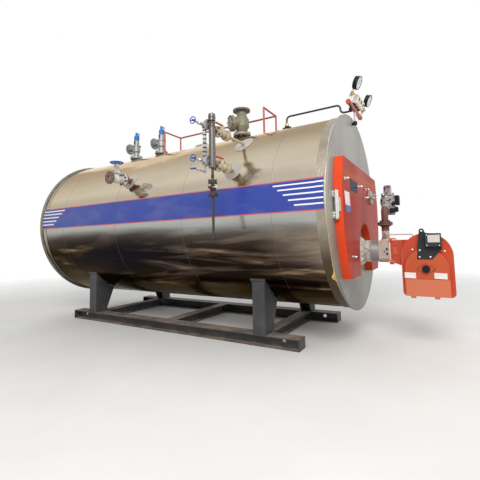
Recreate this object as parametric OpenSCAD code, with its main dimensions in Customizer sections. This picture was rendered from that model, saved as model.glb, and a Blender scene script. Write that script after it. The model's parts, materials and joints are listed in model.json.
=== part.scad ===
// Horizontal packaged fire-tube boiler on a steel skid.
// The origin lies on the floor under the middle of the shell, +X points to the
// burner end, +Z is up, and the water level fittings are on the -Y side.

/* [Shell] */
// Outside radius of the lagged shell
shell_r = 1100; // [1060:10:1150]
// Length of the shell over both end plates
shell_len = 4680; // [4500:20:4900]
// Thickness of the shell wall
shell_wall = 14; // [8:1:24]
// Height of the shell axis above the floor
axis_z = 1460; // [1420:10:1540]
// How far the end plates stand out past the shell
plate_lip = 28; // [10:1:50]
// Thickness of each end plate
plate_t = 22; // [14:1:30]
// Width of the band round each end of the shell
band_w = 105; // [60:5:140]
// Thickness of the end bands
band_t = 5; // [2:0.5:10]
// Thickness of the round cover plates at the side nozzles
rosette_t = 4; // [2:0.5:8]
// Radius of those cover plates
rosette_r = 104; // [94:1:120]

/* [Smokebox door] */
// Depth of the door box in front of the end plate
door_depth = 82; // [60:1:120]
// Radius of the curved sides of the door
door_side_r = 1365; // [1200:5:1500]
// Half of the door's greatest width
door_half_w = 939; // [880:1:980]
// Height of the door's top edge above the shell axis
door_rise = 483; // [400:1:560]
// Depth of the door's bottom edge below the shell axis
door_drop = 715; // [660:1:780]
// Wall thickness of the door box
door_wall = 12; // [6:1:20]
// Radius of the arch over the burner
arch_r = 318; // [280:1:340]
// Radius of the door's hinge barrels
hinge_r = 24; // [16:1:32]
// Length of each hinge barrel
hinge_len = 264; // [200:2:320]
// Radius of the hinge pins
pin_r = 10; // [6:1:14]
// Thickness of the hinge leaves
leaf_t = 10; // [6:1:14]
// Width of the hinge leaves
leaf_w = 62; // [50:1:80]
// Radius of the inspection cover on the door
hatch_r = 95; // [70:1:120]
// How far the inspection cover stands out of the door
hatch_t = 26; // [15:1:40]
// Length of the clamp bar across the inspection cover
hatch_bar_l = 322; // [300:2:340]
// Height of the clamp bar
hatch_bar_h = 28; // [20:1:36]
// Thickness of the clamp bar
hatch_bar_t = 18; // [12:1:24]
// Radius of the clamp bar's studs
hatch_stud_r = 9; // [6:0.5:12]
// Sideways place of the inspection cover
hatch_y = 405; // [360:5:440]
// Height of the inspection cover above the shell axis
hatch_up = 195; // [150:5:240]

/* [Burner] */
// Depth of the burner axis below the shell axis
burner_drop = 465; // [440:5:500]
// Side of the square plate that carries the burner
mount_side = 300; // [270:5:340]
// Thickness of the burner's carrying plate
mount_t = 24; // [12:1:40]
// Outside radius of the collar round the burner tube
collar_r = 122; // [120:1:130]
// Length of the collar
collar_len = 124; // [100:2:150]
// Radius of the slots in the carrying plate's corners
slot_r = 7; // [5:0.5:9]
// Length of the slots between the centres of their ends
slot_len = 22; // [14:1:26]
// Distance of the slots from the burner axis
slot_out = 174; // [170:1:178]
// Radius of the burner tube
tube_r = 118; // [90:1:130]
// Free length of the burner tube
tube_len = 212; // [160:2:240]
// Length of the cast head block along the burner axis
head_len = 112; // [100:2:160]
// Height and width of the cast head block
head_side = 238; // [220:2:260]
// Bevel of the cast head block's edges
head_bevel = 16; // [8:1:24]
// Shift of the gas neck towards the fan
gas_shift = 25; // [10:1:40]
// Across the corners of the hexagonal sight glass, half
sight_r = 28; // [20:1:34]
// Height of the sight glass above the burner axis
sight_up = 176; // [166:1:186]
// Side of the square burner flange
flange_side = 284; // [270:2:320]
// Thickness of the burner flange
flange_t = 20; // [12:1:30]
// Radius of the bolt lugs on the flange's corners
lug_r = 24; // [18:1:28]
// Radius of the bolt holes in the lugs
lug_hole_r = 7; // [5:0.5:9]
// Length of the neck between the flange and the fan housing
neck_len = 110; // [90:5:160]
// Distance from the end of the neck to the fan axis
fan_x_off = 216; // [204:2:230]
// Depth of the fan axis below the burner axis
fan_drop = 175; // [150:5:200]
// Radius of the round top of the fan housing
fan_r = 226; // [218:2:240]
// Rise of the round top's centre above the fan axis
fan_rise = 127; // [100:1:140]
// Half of the fan housing's width across the burner
fan_half_w = 215; // [190:5:240]
// Height of the fan housing's foot below the fan axis
fan_foot = 272; // [250:2:300]
// Radius of the fan housing's lower corners
fan_corner_r = 46; // [30:2:60]
// How far the rims of the fan housing stand out
rim_out = 7; // [4:1:12]
// Width of the rims of the fan housing
rim_w = 16; // [10:1:24]
// Radius of the round top of the side cover
cover_r = 200; // [180:2:220]
// Thickness of the side cover
cover_t = 42; // [30:1:60]
// Radius of the side cover's rounded edge
cover_round = 16; // [8:1:20]
// Half length of the diamond boss on the side cover
boss_w = 85; // [70:1:95]
// Half height of the diamond boss
boss_h = 52; // [44:1:60]
// How far the diamond boss stands out
boss_t = 7; // [4:0.5:10]
// Depth of the fold below the diamond boss
fold_drop = 103; // [90:1:120]
// Height of the lugs under the side cover
cover_lug_h = 22; // [14:1:30]
// Width of the lugs under the side cover
cover_lug_w = 46; // [34:2:56]
// Distance between the lugs under the side cover
cover_lug_gap = 211; // [190:1:230]
// Radius of the black cap at the fan axis
cap_r = 36; // [28:1:44]
// Height of the black cap
cap_t = 20; // [12:1:28]
// Width of the control bracket
bracket_w = 222; // [200:1:240]
// Thickness of the control bracket
bracket_t = 6; // [3:0.5:10]
// Radius of the hole in the bracket's lug
bracket_hole_r = 9; // [6:0.5:12]
// Width of the servo box
servo_w = 140; // [120:2:150]
// Depth of the servo box in front of its bracket
servo_t = 62; // [40:2:90]
// Height of the servo box
servo_h = 126; // [110:2:140]
// Thickness of the servo box's lid
servo_lid_t = 14; // [8:1:20]
// Radius of the fan motor
motor_r = 105; // [90:1:120]
// Length of the fan motor
motor_len = 270; // [220:5:320]
// Number of the motor's cooling ribs
motor_ribs = 20; // [12:1:28]
// Height of the motor's cooling ribs
motor_rib_h = 12; // [8:1:16]
// Length of the motor's end bell
motor_bell = 62; // [50:1:80]

/* [Gas train] */
// Radius of the gas neck on the head block
gas_neck_r = 40; // [38:1:50]
// Height of the gas neck above the burner axis
gas_neck_h = 224; // [190:2:250]
// Height of the brown stub on the gas neck
gas_stub_h = 62; // [50:1:80]
// Radius of the gas flanges
gas_flange_r = 79; // [70:1:90]
// Thickness of the gas flanges
gas_flange_t = 18; // [12:1:24]
// Outside radius of the gas pipe
gas_pipe_r = 37; // [30:1:42]
// Length of the straight gas pipe
gas_pipe_h = 94; // [70:2:120]
// Radius of the gas pipe's bend
gas_bend_r = 56; // [50:1:70]
// Height of the gas valve block
gas_valve_h = 250; // [220:2:280]
// Width of the gas valve block along the boiler
gas_valve_w = 132; // [110:2:150]
// Depth of the gas valve block across the boiler
gas_valve_d = 110; // [90:2:130]
// Depth of the gas valve block's foot below the pipe's bend
gas_valve_drop = 62; // [50:2:80]
// Length of the round inlet on top of the gas valve
gas_inlet_h = 78; // [60:2:100]
// Thickness of the covers on the gas valve's sides
gas_cover_t = 13; // [8:1:18]

/* [Skid] */
// Length of the skid rails
rail_len = 3760; // [3500:20:4000]
// Height of the skid sections
rail_h = 120; // [100:5:160]
// Width of the skid rails' flanges
rail_w = 178; // [140:2:200]
// Thickness of the skid sections' flanges
rail_flange_t = 10; // [6:0.5:14]
// Thickness of the skid sections' webs
rail_web_t = 8; // [5:0.5:12]
// Distance between the outer edges of the two rails
skid_w = 1608; // [1500:4:1700]
// Width of the cross beams
cross_w = 148; // [120:2:170]
// Distance of the outer cross beams from the middle
cross_x = 1427; // [1300:5:1500]
// Radius of the lifting holes in the rails
lift_r = 24; // [16:1:30]
// Distance of the lifting holes from the rail ends
lift_in = 200; // [150:5:260]
// Width of a saddle leg along the boiler
leg_w = 154; // [120:2:170]
// Width of a saddle leg across the boiler
leg_d = 178; // [150:2:190]
// Thickness of the saddle plates
leg_t = 14; // [8:1:20]
// Thickness of the curved pads between the legs and the shell
pad_t = 14; // [8:1:20]

/* [Steam fittings] */
// Place of the steam nozzle along the boiler
steam_x = 795; // [700:5:900]
// Outside radius of the steam nozzle
steam_pipe_r = 66; // [60:1:72]
// Wall of the steam nozzle and of the safety nozzles
nozzle_wall = 6; // [4:0.5:8]
// Radius of the steam flanges
steam_flange_r = 125; // [118:1:135]
// Thickness of the steam flanges
steam_flange_t = 24; // [18:1:30]
// Bore of the steam flanges
steam_bore_r = 60; // [50:1:62]
// Bolt circle of the steam flanges
steam_pcd = 210; // [200:2:216]
// Radius of the bolt holes in the steam flanges
steam_hole_r = 9; // [7:0.5:11]
// Height of the steam nozzle above the top of the shell
steam_neck_h = 104; // [90:2:130]
// Height of the steam valve over its two flanges
steam_valve_h = 376; // [350:2:420]
// Radius of the steam valve's round body
steam_body_r = 100; // [94:1:110]
// Number of upright ribs on the steam valve's body
steam_ribs = 8; // [4:1:12]
// Radius of the steam valve's bonnet flange
bonnet_r = 116; // [104:1:124]
// Thickness of each of the bonnet's two flanges
bonnet_t = 21; // [16:1:26]
// Tilt of the bonnet below level
bonnet_tilt = 10; // [0:1:20]
// Radius of the steam valve's necks
steam_neck_r = 68; // [66:1:76]
// Distance from the valve centre to the bonnet's outer face
bonnet_out = 196; // [180:2:220]
// Direction of the bonnet, from the boiler axis towards the near side
bonnet_turn = 232; // [215:1:250]
// Place of the front safety valve along the boiler
safety_a_x = -785; // [-860:5:-740]
// Place of the rear safety valve along the boiler
safety_b_x = -1385; // [-1460:5:-1300]
// Outside radius of the safety valve nozzles
safety_pipe_r = 48; // [42:1:54]
// Radius of the safety valves' inlet flanges
safety_flange_r = 105; // [95:1:112]
// Thickness of the safety valves' flanges
safety_flange_t = 20; // [14:1:26]
// Height of the safety nozzles above the top of the shell
safety_neck_h = 92; // [80:2:120]
// Height of the safety valves' bodies
safety_body_h = 312; // [300:2:330]
// Radius of the safety valves' bodies
safety_body_r = 66; // [58:1:72]
// Radius of the safety valves' spring bonnets
safety_bonnet_r = 48; // [42:1:54]
// Radius of the safety valves' waist above the inlet flange
safety_waist_r = 50; // [44:1:56]
// Height of the windows in the spring bonnets
window_h = 58; // [44:2:70]
// Width of the windows in the spring bonnets
window_w = 40; // [30:1:50]
// Distance of the spring windows' back walls from the axis
spring_r = 22; // [16:1:28]
// Radius of the safety valves' outlet flanges
safety_out_r = 95; // [90:1:102]
// Bore of the safety valves' outlets
safety_bore_r = 36; // [30:1:40]
// Height of the outlet above the inlet face
safety_out_h = 182; // [170:2:190]
// Distance from the safety valve axis to its outlet face
safety_out_l = 165; // [150:1:190]
// Height of the blue lever cap
safety_cap_h = 148; // [120:2:170]
// Radius of the blue lever cap
safety_cap_r = 42; // [36:1:50]
// Length of the blue lever
lever_l = 118; // [90:2:140]
// Thickness of the blue lever
lever_t = 12; // [8:1:16]
// Bolt circle of the safety valve outlets
safety_pcd = 160; // [150:2:166]
// Radius of the bolt holes in the safety valve outlets
safety_hole_r = 9; // [7:0.5:10]

/* [Handrail] */
// Radius of the handrail tubes
hand_r = 13; // [10:1:18]
// Height of the handrail above the top of the shell
hand_h = 352; // [300:4:420]
// Place of the front posts along the boiler
hand_front_x = 1249; // [1150:5:1300]
// Place of the rear posts along the boiler
hand_rear_x = -526; // [-600:5:-450]
// Half of the distance between the two rows of posts
hand_half_w = 190; // [170:5:240]

/* [Feed valve] */
// Place of the feed nozzle along the boiler
feed_x = -420; // [-500:5:-340]
// Height of the feed nozzle above the shell axis
feed_up = 532; // [500:2:560]
// Length of the feed nozzle's neck
feed_neck = 124; // [100:2:140]
// Outside radius of the feed nozzle
feed_pipe_r = 36; // [32:1:42]
// Radius of the feed flanges
feed_flange_r = 84; // [80:1:92]
// Thickness of the feed flanges
feed_flange_t = 18; // [14:1:22]
// Bore of the feed flanges
feed_bore_r = 30; // [24:1:31]
// Bolt circle of the feed flanges
feed_pcd = 130; // [124:1:136]
// Radius of the bolt holes in the feed flanges
feed_hole_r = 9; // [7:0.5:10]
// Length of the feed valve over its two flanges
feed_valve_l = 230; // [200:2:260]
// Radius of the feed valve's round body
feed_body_r = 62; // [54:1:70]
// Radius of the feed valve's necks
feed_neck_r = 42; // [38:1:48]
// Radius of the feed valve's bonnet flange
feed_bonnet_r = 58; // [50:1:64]
// Height of the bonnet flange above the feed valve's axis
feed_bonnet_h = 78; // [70:1:90]
// Height of the feed valve's yoke
yoke_h = 92; // [80:2:110]
// Half width of the feed valve's yoke
yoke_w = 34; // [28:1:42]
// Height of the feed handwheel above the valve's axis
feed_wheel_h = 214; // [204:2:240]
// Radius of the feed handwheel
wheel_r = 88; // [80:1:110]
// Radius of the handwheel's rim section
rim_r = 9; // [6:0.5:12]
// Number of the handwheel's spokes
spokes = 5; // [3:1:6]
// Radius of the feed valve's stem
stem_r = 9; // [6:0.5:11]

/* [Level column] */
// Place of the level column along the boiler
column_x = 1250; // [1150:5:1300]
// Height of the upper branch above the shell axis
branch_hi = 822; // [800:2:860]
// Height of the lower branch above the shell axis
branch_lo = 460; // [430:2:500]
// Distance of the column from the shell at the lower branch
column_off = 381; // [360:1:420]
// Outside radius of the branch pipes
branch_r = 17; // [14:1:20]
// Radius of the branch valves' flanges
branch_flange_r = 58; // [52:1:64]
// Thickness of the branch valves' flanges
branch_flange_t = 15; // [12:1:18]
// Length of a branch valve over its flanges
branch_valve_l = 176; // [160:2:190]
// Distance from the column axis to the nearer valve flange
branch_gap = 100; // [90:2:130]
// Radius of the branch valves' round bodies
branch_body_r = 42; // [36:1:48]
// Height of a branch valve's stem above its axis
branch_stem_h = 96; // [80:2:120]
// Length of a branch valve's lever
branch_lever_l = 120; // [90:2:150]
// Height and half width of a branch valve's lever
branch_lever_t = 8; // [5:1:12]
// Outside radius of the column tube
column_r = 33; // [28:1:40]
// Height of the column's tube above the upper branch
column_over = 76; // [50:2:90]
// Height of the neck under the column's top cap
column_neck_h = 12; // [8:2:40]
// Half across the corners of the neck under the top cap
column_neck_r = 27; // [20:1:32]
// Depth of the column's tube below the lower branch
column_under = 40; // [20:1:50]
// Radius of the column's top cap
column_cap_r = 37; // [34:1:48]
// Height of the column's top cap
column_cap_h = 66; // [50:2:90]
// Distance from the column axis to the gauge glass
glass_off = 95; // [90:1:110]
// Distance between the gauge glass cocks
glass_h = 380; // [340:2:390]
// Height of the lower glass cock above the lower branch
glass_up = 40; // [36:2:70]
// Outside radius of the gauge glass
glass_r = 11; // [8:0.5:14]
// Radius of the flanges between the column and the gauge glass
glass_flange_r = 54; // [44:1:60]
// Thickness of the gauge glass flanges
glass_flange_t = 14; // [10:1:18]
// Length of the gauge glass cocks' stems
cock_len = 190; // [150:2:200]
// Radius of the gauge glass cocks' stems
cock_stem_r = 8; // [6:0.5:10]
// Radius of the cocks' ring handles
cock_ring_r = 38; // [30:1:42]
// Radius of the ring handles' section
cock_rim_r = 5; // [4:0.5:7]
// Depth of the glass drain below the lower cock
cock_drop = 105; // [90:5:120]
// Length of the glass drain's bar handle
cock_bar_l = 60; // [50:2:70]
// Radius of the drain pipe
drain_r = 13; // [10:1:16]
// Radius of the drain flanges
drain_flange_r = 47; // [40:1:54]
// Thickness of the drain flanges
drain_flange_t = 14; // [10:1:18]
// Depth of the drain valve below the column
drain_valve_drop = 205; // [190:5:220]
// Half length of the drain valve between its flanges
drain_valve_half = 58; // [50:1:66]
// Radius of the drain valve's body
drain_body_r = 34; // [28:1:40]
// Length of the drain from the column to its open end
drain_len = 715; // [620:5:770]

/* [Gauges] */
// Distance of the gauge manifold in front of the end plate
manifold_out = 36; // [34:1:60]
// Height of the manifold above the top of the end plate
manifold_up = 95; // [70:1:110]
// Length of the gauge manifold
manifold_len = 640; // [560:5:660]
// Radius of the gauge manifold
manifold_r = 24; // [18:1:28]
// Radius of the leg under the manifold
leg_r = 14; // [10:1:18]
// Depth of the leg below the manifold
leg_drop = 165; // [155:1:180]
// Radius of the gauge cocks
gauge_cock_r = 16; // [12:1:20]
// Radius of the stems that carry the gauges and the switches
stand_r = 10; // [8:0.5:12]
// Height of the switch stems
switch_up = 44; // [36:1:54]
// Distance of the gauges from the manifold's ends
gauge_in = 24; // [20:1:30]
// Radius of the pressure gauges
gauge_r = 75; // [60:1:80]
// Depth of the pressure gauges' cases
gauge_t = 52; // [36:1:64]
// Distance of the gauges' centres from the manifold's axis
gauge_up = 222; // [200:2:240]
// Lean of the gauges and the switches towards the reader
gauge_tilt = 25; // [10:1:30]
// How far the gauges stand in front of the manifold
gauge_out = 40; // [30:1:50]
// Width of a pressure switch along the manifold
switch_w = 92; // [70:1:96]
// Height of a pressure switch
switch_h = 96; // [80:1:110]
// Depth of a pressure switch
switch_d = 62; // [50:1:70]
// Pitch of the pressure switches
switch_pitch = 106; // [98:1:112]
// Radius of the thin steam pipe to the manifold
impulse_r = 12; // [9:0.5:14]
// Place of the thin steam pipe's nozzle along the boiler
impulse_x = 1495; // [1400:5:1600]
// Height of the thin steam pipe above the shell
impulse_h = 228; // [222:2:280]

/* [Top and rear] */
// Place of the manhole along the boiler
manhole_x = 130; // [60:5:200]
// Outside radius of the manhole ring
manhole_r = 165; // [140:5:170]
// Height of the manhole cover above the shell
manhole_h = 48; // [44:2:54]
// Thickness of the manhole cover
manhole_t = 20; // [14:1:26]
// Width of the manhole's clamp bars
yoke_bar_w = 34; // [26:1:42]
// Radius of the round rear door
rear_door_r = 360; // [320:5:400]
// Depth of the rear door
rear_door_t = 60; // [40:2:90]
// Radius of the raised middle of the rear door
rear_dish_r = 250; // [220:5:280]
// Number of clamps round the rear door
clamps = 12; // [8:1:16]
// Width of a rear door clamp
clamp_w = 40; // [30:2:50]
// Outside radius of the flue outlet
flue_r = 210; // [180:2:216]
// Height of the flue outlet above the shell axis
flue_up = 520; // [480:5:560]
// Length of the flue outlet behind the end plate
flue_len = 150; // [110:5:200]
// Wall of the flue outlet
flue_wall = 6; // [3:1:10]
// Radius of the flue flange
flue_flange_r = 250; // [244:1:270]
// Thickness of the flue flange
flue_flange_t = 12; // [8:1:16]
// Bolt circle of the flue flange
flue_pcd = 460; // [450:2:470]
// Radius of the bolt holes in the flue flange
flue_hole_r = 7; // [5:0.5:9]

/* [Hidden] */
$fn = 96;

// Clearance between pieces that seat on each other
fit = 0.3;
// Half length of the shell and the inner faces of its end plates
half_len = shell_len / 2;
plate_r = shell_r + plate_lip;
shell_top = axis_z + shell_r;
// Chain of burner pieces along +X
burner_z = axis_z - burner_drop;
mount_x = half_len + fit;
tube_x = mount_x + mount_t + fit;
head_x = tube_x + tube_len + fit;
bflange_x = head_x + head_len + fit;
neck_x = bflange_x + flange_t + fit;
housing_x = neck_x + neck_len;
fan_x = housing_x + fan_x_off;
fan_z = burner_z - fan_drop;
cover_y = -fan_half_w - fit;
bracket_y = cover_y - cover_t - fit;
bracket_x = fan_x - bracket_w / 3;
// Gas pieces above the head block
gas_x = head_x + head_len / 2 + gas_shift - gas_neck_r / 3;
gas_stub_z = burner_z + gas_neck_h + fit;
gas_flange_z = gas_stub_z + gas_stub_h + gas_flange_t + fit;
gas_bend_z = gas_flange_z + gas_flange_t + gas_pipe_h;
fan_top_z = fan_z + fan_rise;
// Skid and saddles
rail_y = skid_w / 2 - rail_w / 2;
// Steam and safety fittings stacked on the top of the shell
steam_face_z = shell_top + steam_neck_h;
safety_face_z = shell_top + safety_neck_h;
// Feed line and level column on the near side
feed_z = axis_z + feed_up;
feed_face_y = -(side_y(feed_up) + feed_neck);
column_y = -(side_y(branch_lo) + column_off);
column_lo_z = axis_z + branch_lo;
column_hi_z = axis_z + branch_hi;
valve_near_y = column_y + branch_gap;
valve_far_y = valve_near_y + branch_valve_l;
glass_x = column_x - glass_off;
glass_lo_z = column_lo_z + glass_up;
glass_hi_z = glass_lo_z + glass_h;
drain_z = column_lo_z - column_under;
// Gauge manifold in front of the end plate
manifold_x = half_len + manifold_out;
manifold_z = axis_z + plate_r + manifold_up;

// Distance of the shell surface from its middle plane at a height above the axis
function side_y(up) = sqrt(shell_r * shell_r - up * up);

// Cylinder along +X and along -Y
module x_cyl(r, l) { rotate([0, 90, 0]) cylinder(r = r, h = l); }
module y_cyl(r, l) { rotate([90, 0, 0]) cylinder(r = r, h = l); }

// Flat ring standing on z = 0 with a circle of bolt holes
module flange(r, t, bore, pcd, hole_r, count = 8) {
    difference() {
        cylinder(r = r, h = t);
        translate([0, 0, -1]) cylinder(r = bore, h = t + 2);
        for (i = [0 : count - 1])
            rotate([0, 0, (i + 0.5) * 360 / count])
                translate([pcd / 2, 0, -1]) cylinder(r = hole_r, h = t + 2, $fn = 32);
    }
}

// Space that the shell takes up, with the seat clearance round it
module shell_space(x, half) {
    translate([x - half, 0, axis_z]) x_cyl(shell_r + fit, 2 * half, $fn = 180);
}

// Quarter bend of a round pipe from +Z towards +X, its inlet at the origin
module bend(pipe_r, bend_r, angle = 90) {
    translate([bend_r, 0, 0]) rotate([90, 0, 0]) rotate([0, 0, 180])
        mirror([0, 1, 0]) rotate_extrude(angle = angle)
            translate([bend_r, 0]) circle(r = pipe_r, $fn = 48);
}

// Profile of a section beam, flanges flat, standing on y = 0
module beam_profile(w) {
    translate([-w / 2, 0]) square([w, rail_flange_t]);
    translate([-w / 2, rail_h - rail_flange_t]) square([w, rail_flange_t]);
    translate([-rail_web_t / 2, 0]) square([rail_web_t, rail_h]);
}

// Outline of the smokebox door, shrunk by a margin, x across and y up
module door_outline(m) {
    difference() {
        intersection() {
            translate([-(door_side_r - door_half_w), 0]) circle(r = door_side_r - m, $fn = 180);
            translate([door_side_r - door_half_w, 0]) circle(r = door_side_r - m, $fn = 180);
            translate([-door_half_w, -door_drop + m]) square([2 * door_half_w, door_rise + door_drop - 2 * m]);
        }
        translate([0, -burner_drop]) circle(r = arch_r + m);
        translate([-arch_r - m, -door_drop - 1]) square([2 * (arch_r + m), door_drop - burner_drop + 1]);
    }
}

// Extrude an outline of the end view, x across and y up, along +X
module face_extrude(x, t) {
    translate([x, 0, 0]) rotate([90, 0, 90]) linear_extrude(t) children();
}

// Extrude a side view outline, x along the boiler and y up, from y0 towards +Y
module side_extrude(y0, t) {
    translate([0, y0 + t, 0]) rotate([90, 0, 0]) linear_extrude(t) children();
}

module shell_cladding() {
    color("silver")
        translate([-half_len + plate_t + fit, 0, axis_z])
            difference() {
                x_cyl(shell_r, shell_len - 2 * plate_t - 2 * fit, $fn = 180);
                translate([-1, 0, 0]) x_cyl(shell_r - shell_wall, shell_len, $fn = 180);
            }
}

module end_band() {
    difference() {
        x_cyl(shell_r + fit + band_t, band_w, $fn = 180);
        translate([-1, 0, 0]) x_cyl(shell_r + fit, band_w + 2, $fn = 180);
    }
}

module end_bands() {
    color("gainsboro") {
        translate([half_len - plate_t - fit - band_w, 0, axis_z]) end_band();
        translate([-half_len + plate_t + fit, 0, axis_z]) end_band();
    }
}

module front_plate() {
    color("darkgray") translate([half_len - plate_t, 0, axis_z]) x_cyl(plate_r, plate_t, $fn = 180);
}

module rear_plate() {
    color("darkgray") translate([-half_len, 0, axis_z]) x_cyl(plate_r, plate_t, $fn = 180);
}

module smokebox_door() {
    color("orangered")
        translate([0, 0, axis_z])
            difference() {
                face_extrude(half_len + fit, door_depth - fit) door_outline(0);
                face_extrude(half_len, door_depth - door_wall) door_outline(door_wall);
            }
}

// Hinge with its axis on z, the door on its +Y side and the end plate behind it
module door_hinge() {
    knuckle = hinge_len / 4;
    door_part = hinge_len - 2 * knuckle - 2 * fit;
    for (z = [0, hinge_len - knuckle])
        translate([0, 0, z]) {
            cylinder(r = hinge_r, h = knuckle);
            translate([-hinge_r, -leaf_w, 0]) cube([leaf_t, leaf_w, knuckle]);
        }
    translate([0, 0, -pin_r]) cylinder(r = pin_r, h = hinge_len + 2 * pin_r);
    difference() {
        translate([0, 0, knuckle + fit]) {
            cylinder(r = hinge_r, h = door_part);
            translate([0, hinge_r - leaf_t, 0]) cube([leaf_w - hinge_r, leaf_t, door_part]);
        }
        translate([0, 0, -hinge_len]) cylinder(r = pin_r + fit, h = 3 * hinge_len);
    }
}

module door_hinges() {
    color("silver")
        for (s = [0, 1]) mirror([0, s, 0])
            translate([half_len + fit + hinge_r, -door_half_w - fit - hinge_r, axis_z - hinge_len / 2]) door_hinge();
}

module inspection_hatch() {
    color("rosybrown")
        translate([half_len + door_depth + fit, hatch_y, axis_z + hatch_up]) {
            x_cyl(hatch_r, hatch_t / 2);
            x_cyl(hatch_r - 10, hatch_t);
            translate([hatch_t, -hatch_bar_l / 2, -hatch_bar_h / 2]) cube([hatch_bar_t, hatch_bar_l, hatch_bar_h]);
            for (s = [-1, 1])
                translate([0, s * (hatch_bar_l / 2 - 2 * hatch_stud_r), 0]) x_cyl(hatch_stud_r, hatch_t + 2 * hatch_bar_t);
        }
}

// Plate with a collar round the tube and a slot for a stud in each corner
module burner_mount_plate() {
    color("linen")
        translate([mount_x, 0, burner_z])
            difference() {
                union() {
                    translate([0, -mount_side / 2, -mount_side / 2]) cube([mount_t, mount_side, mount_side]);
                    x_cyl(collar_r, mount_t + collar_len);
                }
                translate([mount_t, 0, 0]) x_cyl(tube_r + fit, collar_len + 1);
                for (a = [45 : 90 : 315]) rotate([a, 0, 0]) translate([-1, slot_out, 0]) {
                    for (s = [-1, 1]) translate([0, s * slot_len / 2, 0]) x_cyl(slot_r, mount_t + 2, $fn = 32);
                    translate([0, -slot_len / 2, -slot_r]) cube([mount_t + 2, slot_len, 2 * slot_r]);
                }
            }
}

module burner_throat() {
    color("darkgray") translate([tube_x, 0, burner_z]) x_cyl(tube_r, tube_len);
}

// Square with bevelled corners, centred
module bevel_square(side, bevel) {
    a = side / 2;
    b = a - bevel;
    polygon([[a, -b], [a, b], [b, a], [-b, a], [-a, b], [-a, -b], [-b, -a], [b, -a]]);
}

// Cast block with the gas neck on top and a hexagonal sight glass on the neck's near side
module burner_head() {
    color("tan") {
        face_extrude(head_x, head_len) translate([0, burner_z]) bevel_square(head_side, head_bevel);
        translate([gas_x, 0, burner_z]) cylinder(r = gas_neck_r, h = gas_neck_h);
        translate([gas_x, 0, burner_z + head_side / 2])
            cylinder(r1 = gas_neck_r + head_bevel, r2 = gas_neck_r, h = 2 * head_bevel);
        translate([gas_x, 0, burner_z + sight_up]) y_cyl(sight_r - 4, gas_neck_r + 8);
        translate([gas_x, -gas_neck_r - 8, burner_z + sight_up]) rotate([90, 0, 0]) cylinder(r = sight_r, h = 10, $fn = 6);
    }
}

// Brown stub and flange on the neck, then the pipe's own flange, the pipe and its bend
module gas_inlet() {
    color("saddlebrown") {
        translate([gas_x, 0, gas_stub_z]) {
            cylinder(r = gas_pipe_r + 4, h = gas_stub_h);
            translate([0, 0, gas_stub_h]) cylinder(r = gas_flange_r, h = gas_flange_t);
        }
        translate([gas_x, 0, gas_flange_z]) {
            cylinder(r = gas_flange_r, h = gas_flange_t);
            translate([0, 0, gas_flange_t]) cylinder(r = gas_pipe_r, h = gas_pipe_h);
        }
        translate([gas_x, 0, gas_bend_z]) rotate([0, 0, 90]) bend(gas_pipe_r, gas_bend_r);
    }
}

// Cast valve body with covers on three sides, ribs and a round inlet on top
module gas_valve() {
    side = gas_valve_w / 2 + gas_cover_t;
    color("silver")
        translate([gas_x + (gas_valve_w - 2 * gas_pipe_r) / 2, gas_bend_r + fit + gas_valve_d / 2,
            gas_bend_z + gas_bend_r - gas_valve_drop]) {
            difference() {
                translate([-gas_valve_w / 2, -gas_valve_d / 2, 0]) cube([gas_valve_w, gas_valve_d, gas_valve_h]);
                for (a = [-1, 1], b = [-1, 1])
                    translate([a * gas_valve_w / 2, b * gas_valve_d / 2, -1]) rotate([0, 0, 45])
                        translate([-8, -8, 0]) cube([16, 16, gas_valve_h + 2]);
            }
            for (s = [-1, 1]) translate([s > 0 ? 0 : -side, 0, gas_valve_h * 0.62]) x_cyl(gas_valve_d / 2 - 12, side);
            translate([0, -gas_valve_d / 2, gas_valve_h * 0.75]) y_cyl(gas_pipe_r / 1.6, gas_cover_t);
            for (z = [gas_valve_h * 0.1 : gas_valve_h * 0.09 : gas_valve_h * 0.4])
                translate([-side, -gas_valve_d / 2 + 14, z]) cube([2 * side, gas_valve_d - 28, 6]);
            translate([0, 0, gas_valve_h]) cylinder(r = gas_pipe_r + 6, h = gas_inlet_h, $fn = 8);
            translate([0, 0, gas_valve_h]) cylinder(r = gas_pipe_r, h = gas_inlet_h + 12);
        }
}

// Square flange with a round lug on each corner
module burner_flange() {
    color("orangered")
        translate([bflange_x, 0, burner_z])
            difference() {
                union() {
                    translate([0, -flange_side / 2 + lug_r / 2, -flange_side / 2 + lug_r / 2])
                        cube([flange_t, flange_side - lug_r, flange_side - lug_r]);
                    for (a = [-1, 1], b = [-1, 1])
                        translate([0, a * (flange_side / 2 - lug_r), b * (flange_side / 2 - lug_r)]) x_cyl(lug_r, flange_t);
                }
                for (a = [-1, 1], b = [-1, 1])
                    translate([-1, a * (flange_side / 2 - lug_r), b * (flange_side / 2 - lug_r)])
                        x_cyl(lug_hole_r, flange_t + 2, $fn = 32);
            }
}

// Side view of the fan housing, round on top and with rounded corners below
module housing_profile(grow) {
    half = fan_r + grow;
    foot = fan_foot + fan_rise + grow;
    translate([housing_x + fan_r, fan_top_z]) {
        circle(r = half);
        translate([-half, -foot + fan_corner_r]) square([2 * half, foot - fan_corner_r]);
        translate([-half + fan_corner_r, -foot]) square([2 * (half - fan_corner_r), foot]);
        for (s = [-1, 1]) translate([s * (half - fan_corner_r), -foot + fan_corner_r]) circle(r = fan_corner_r);
    }
}

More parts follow.
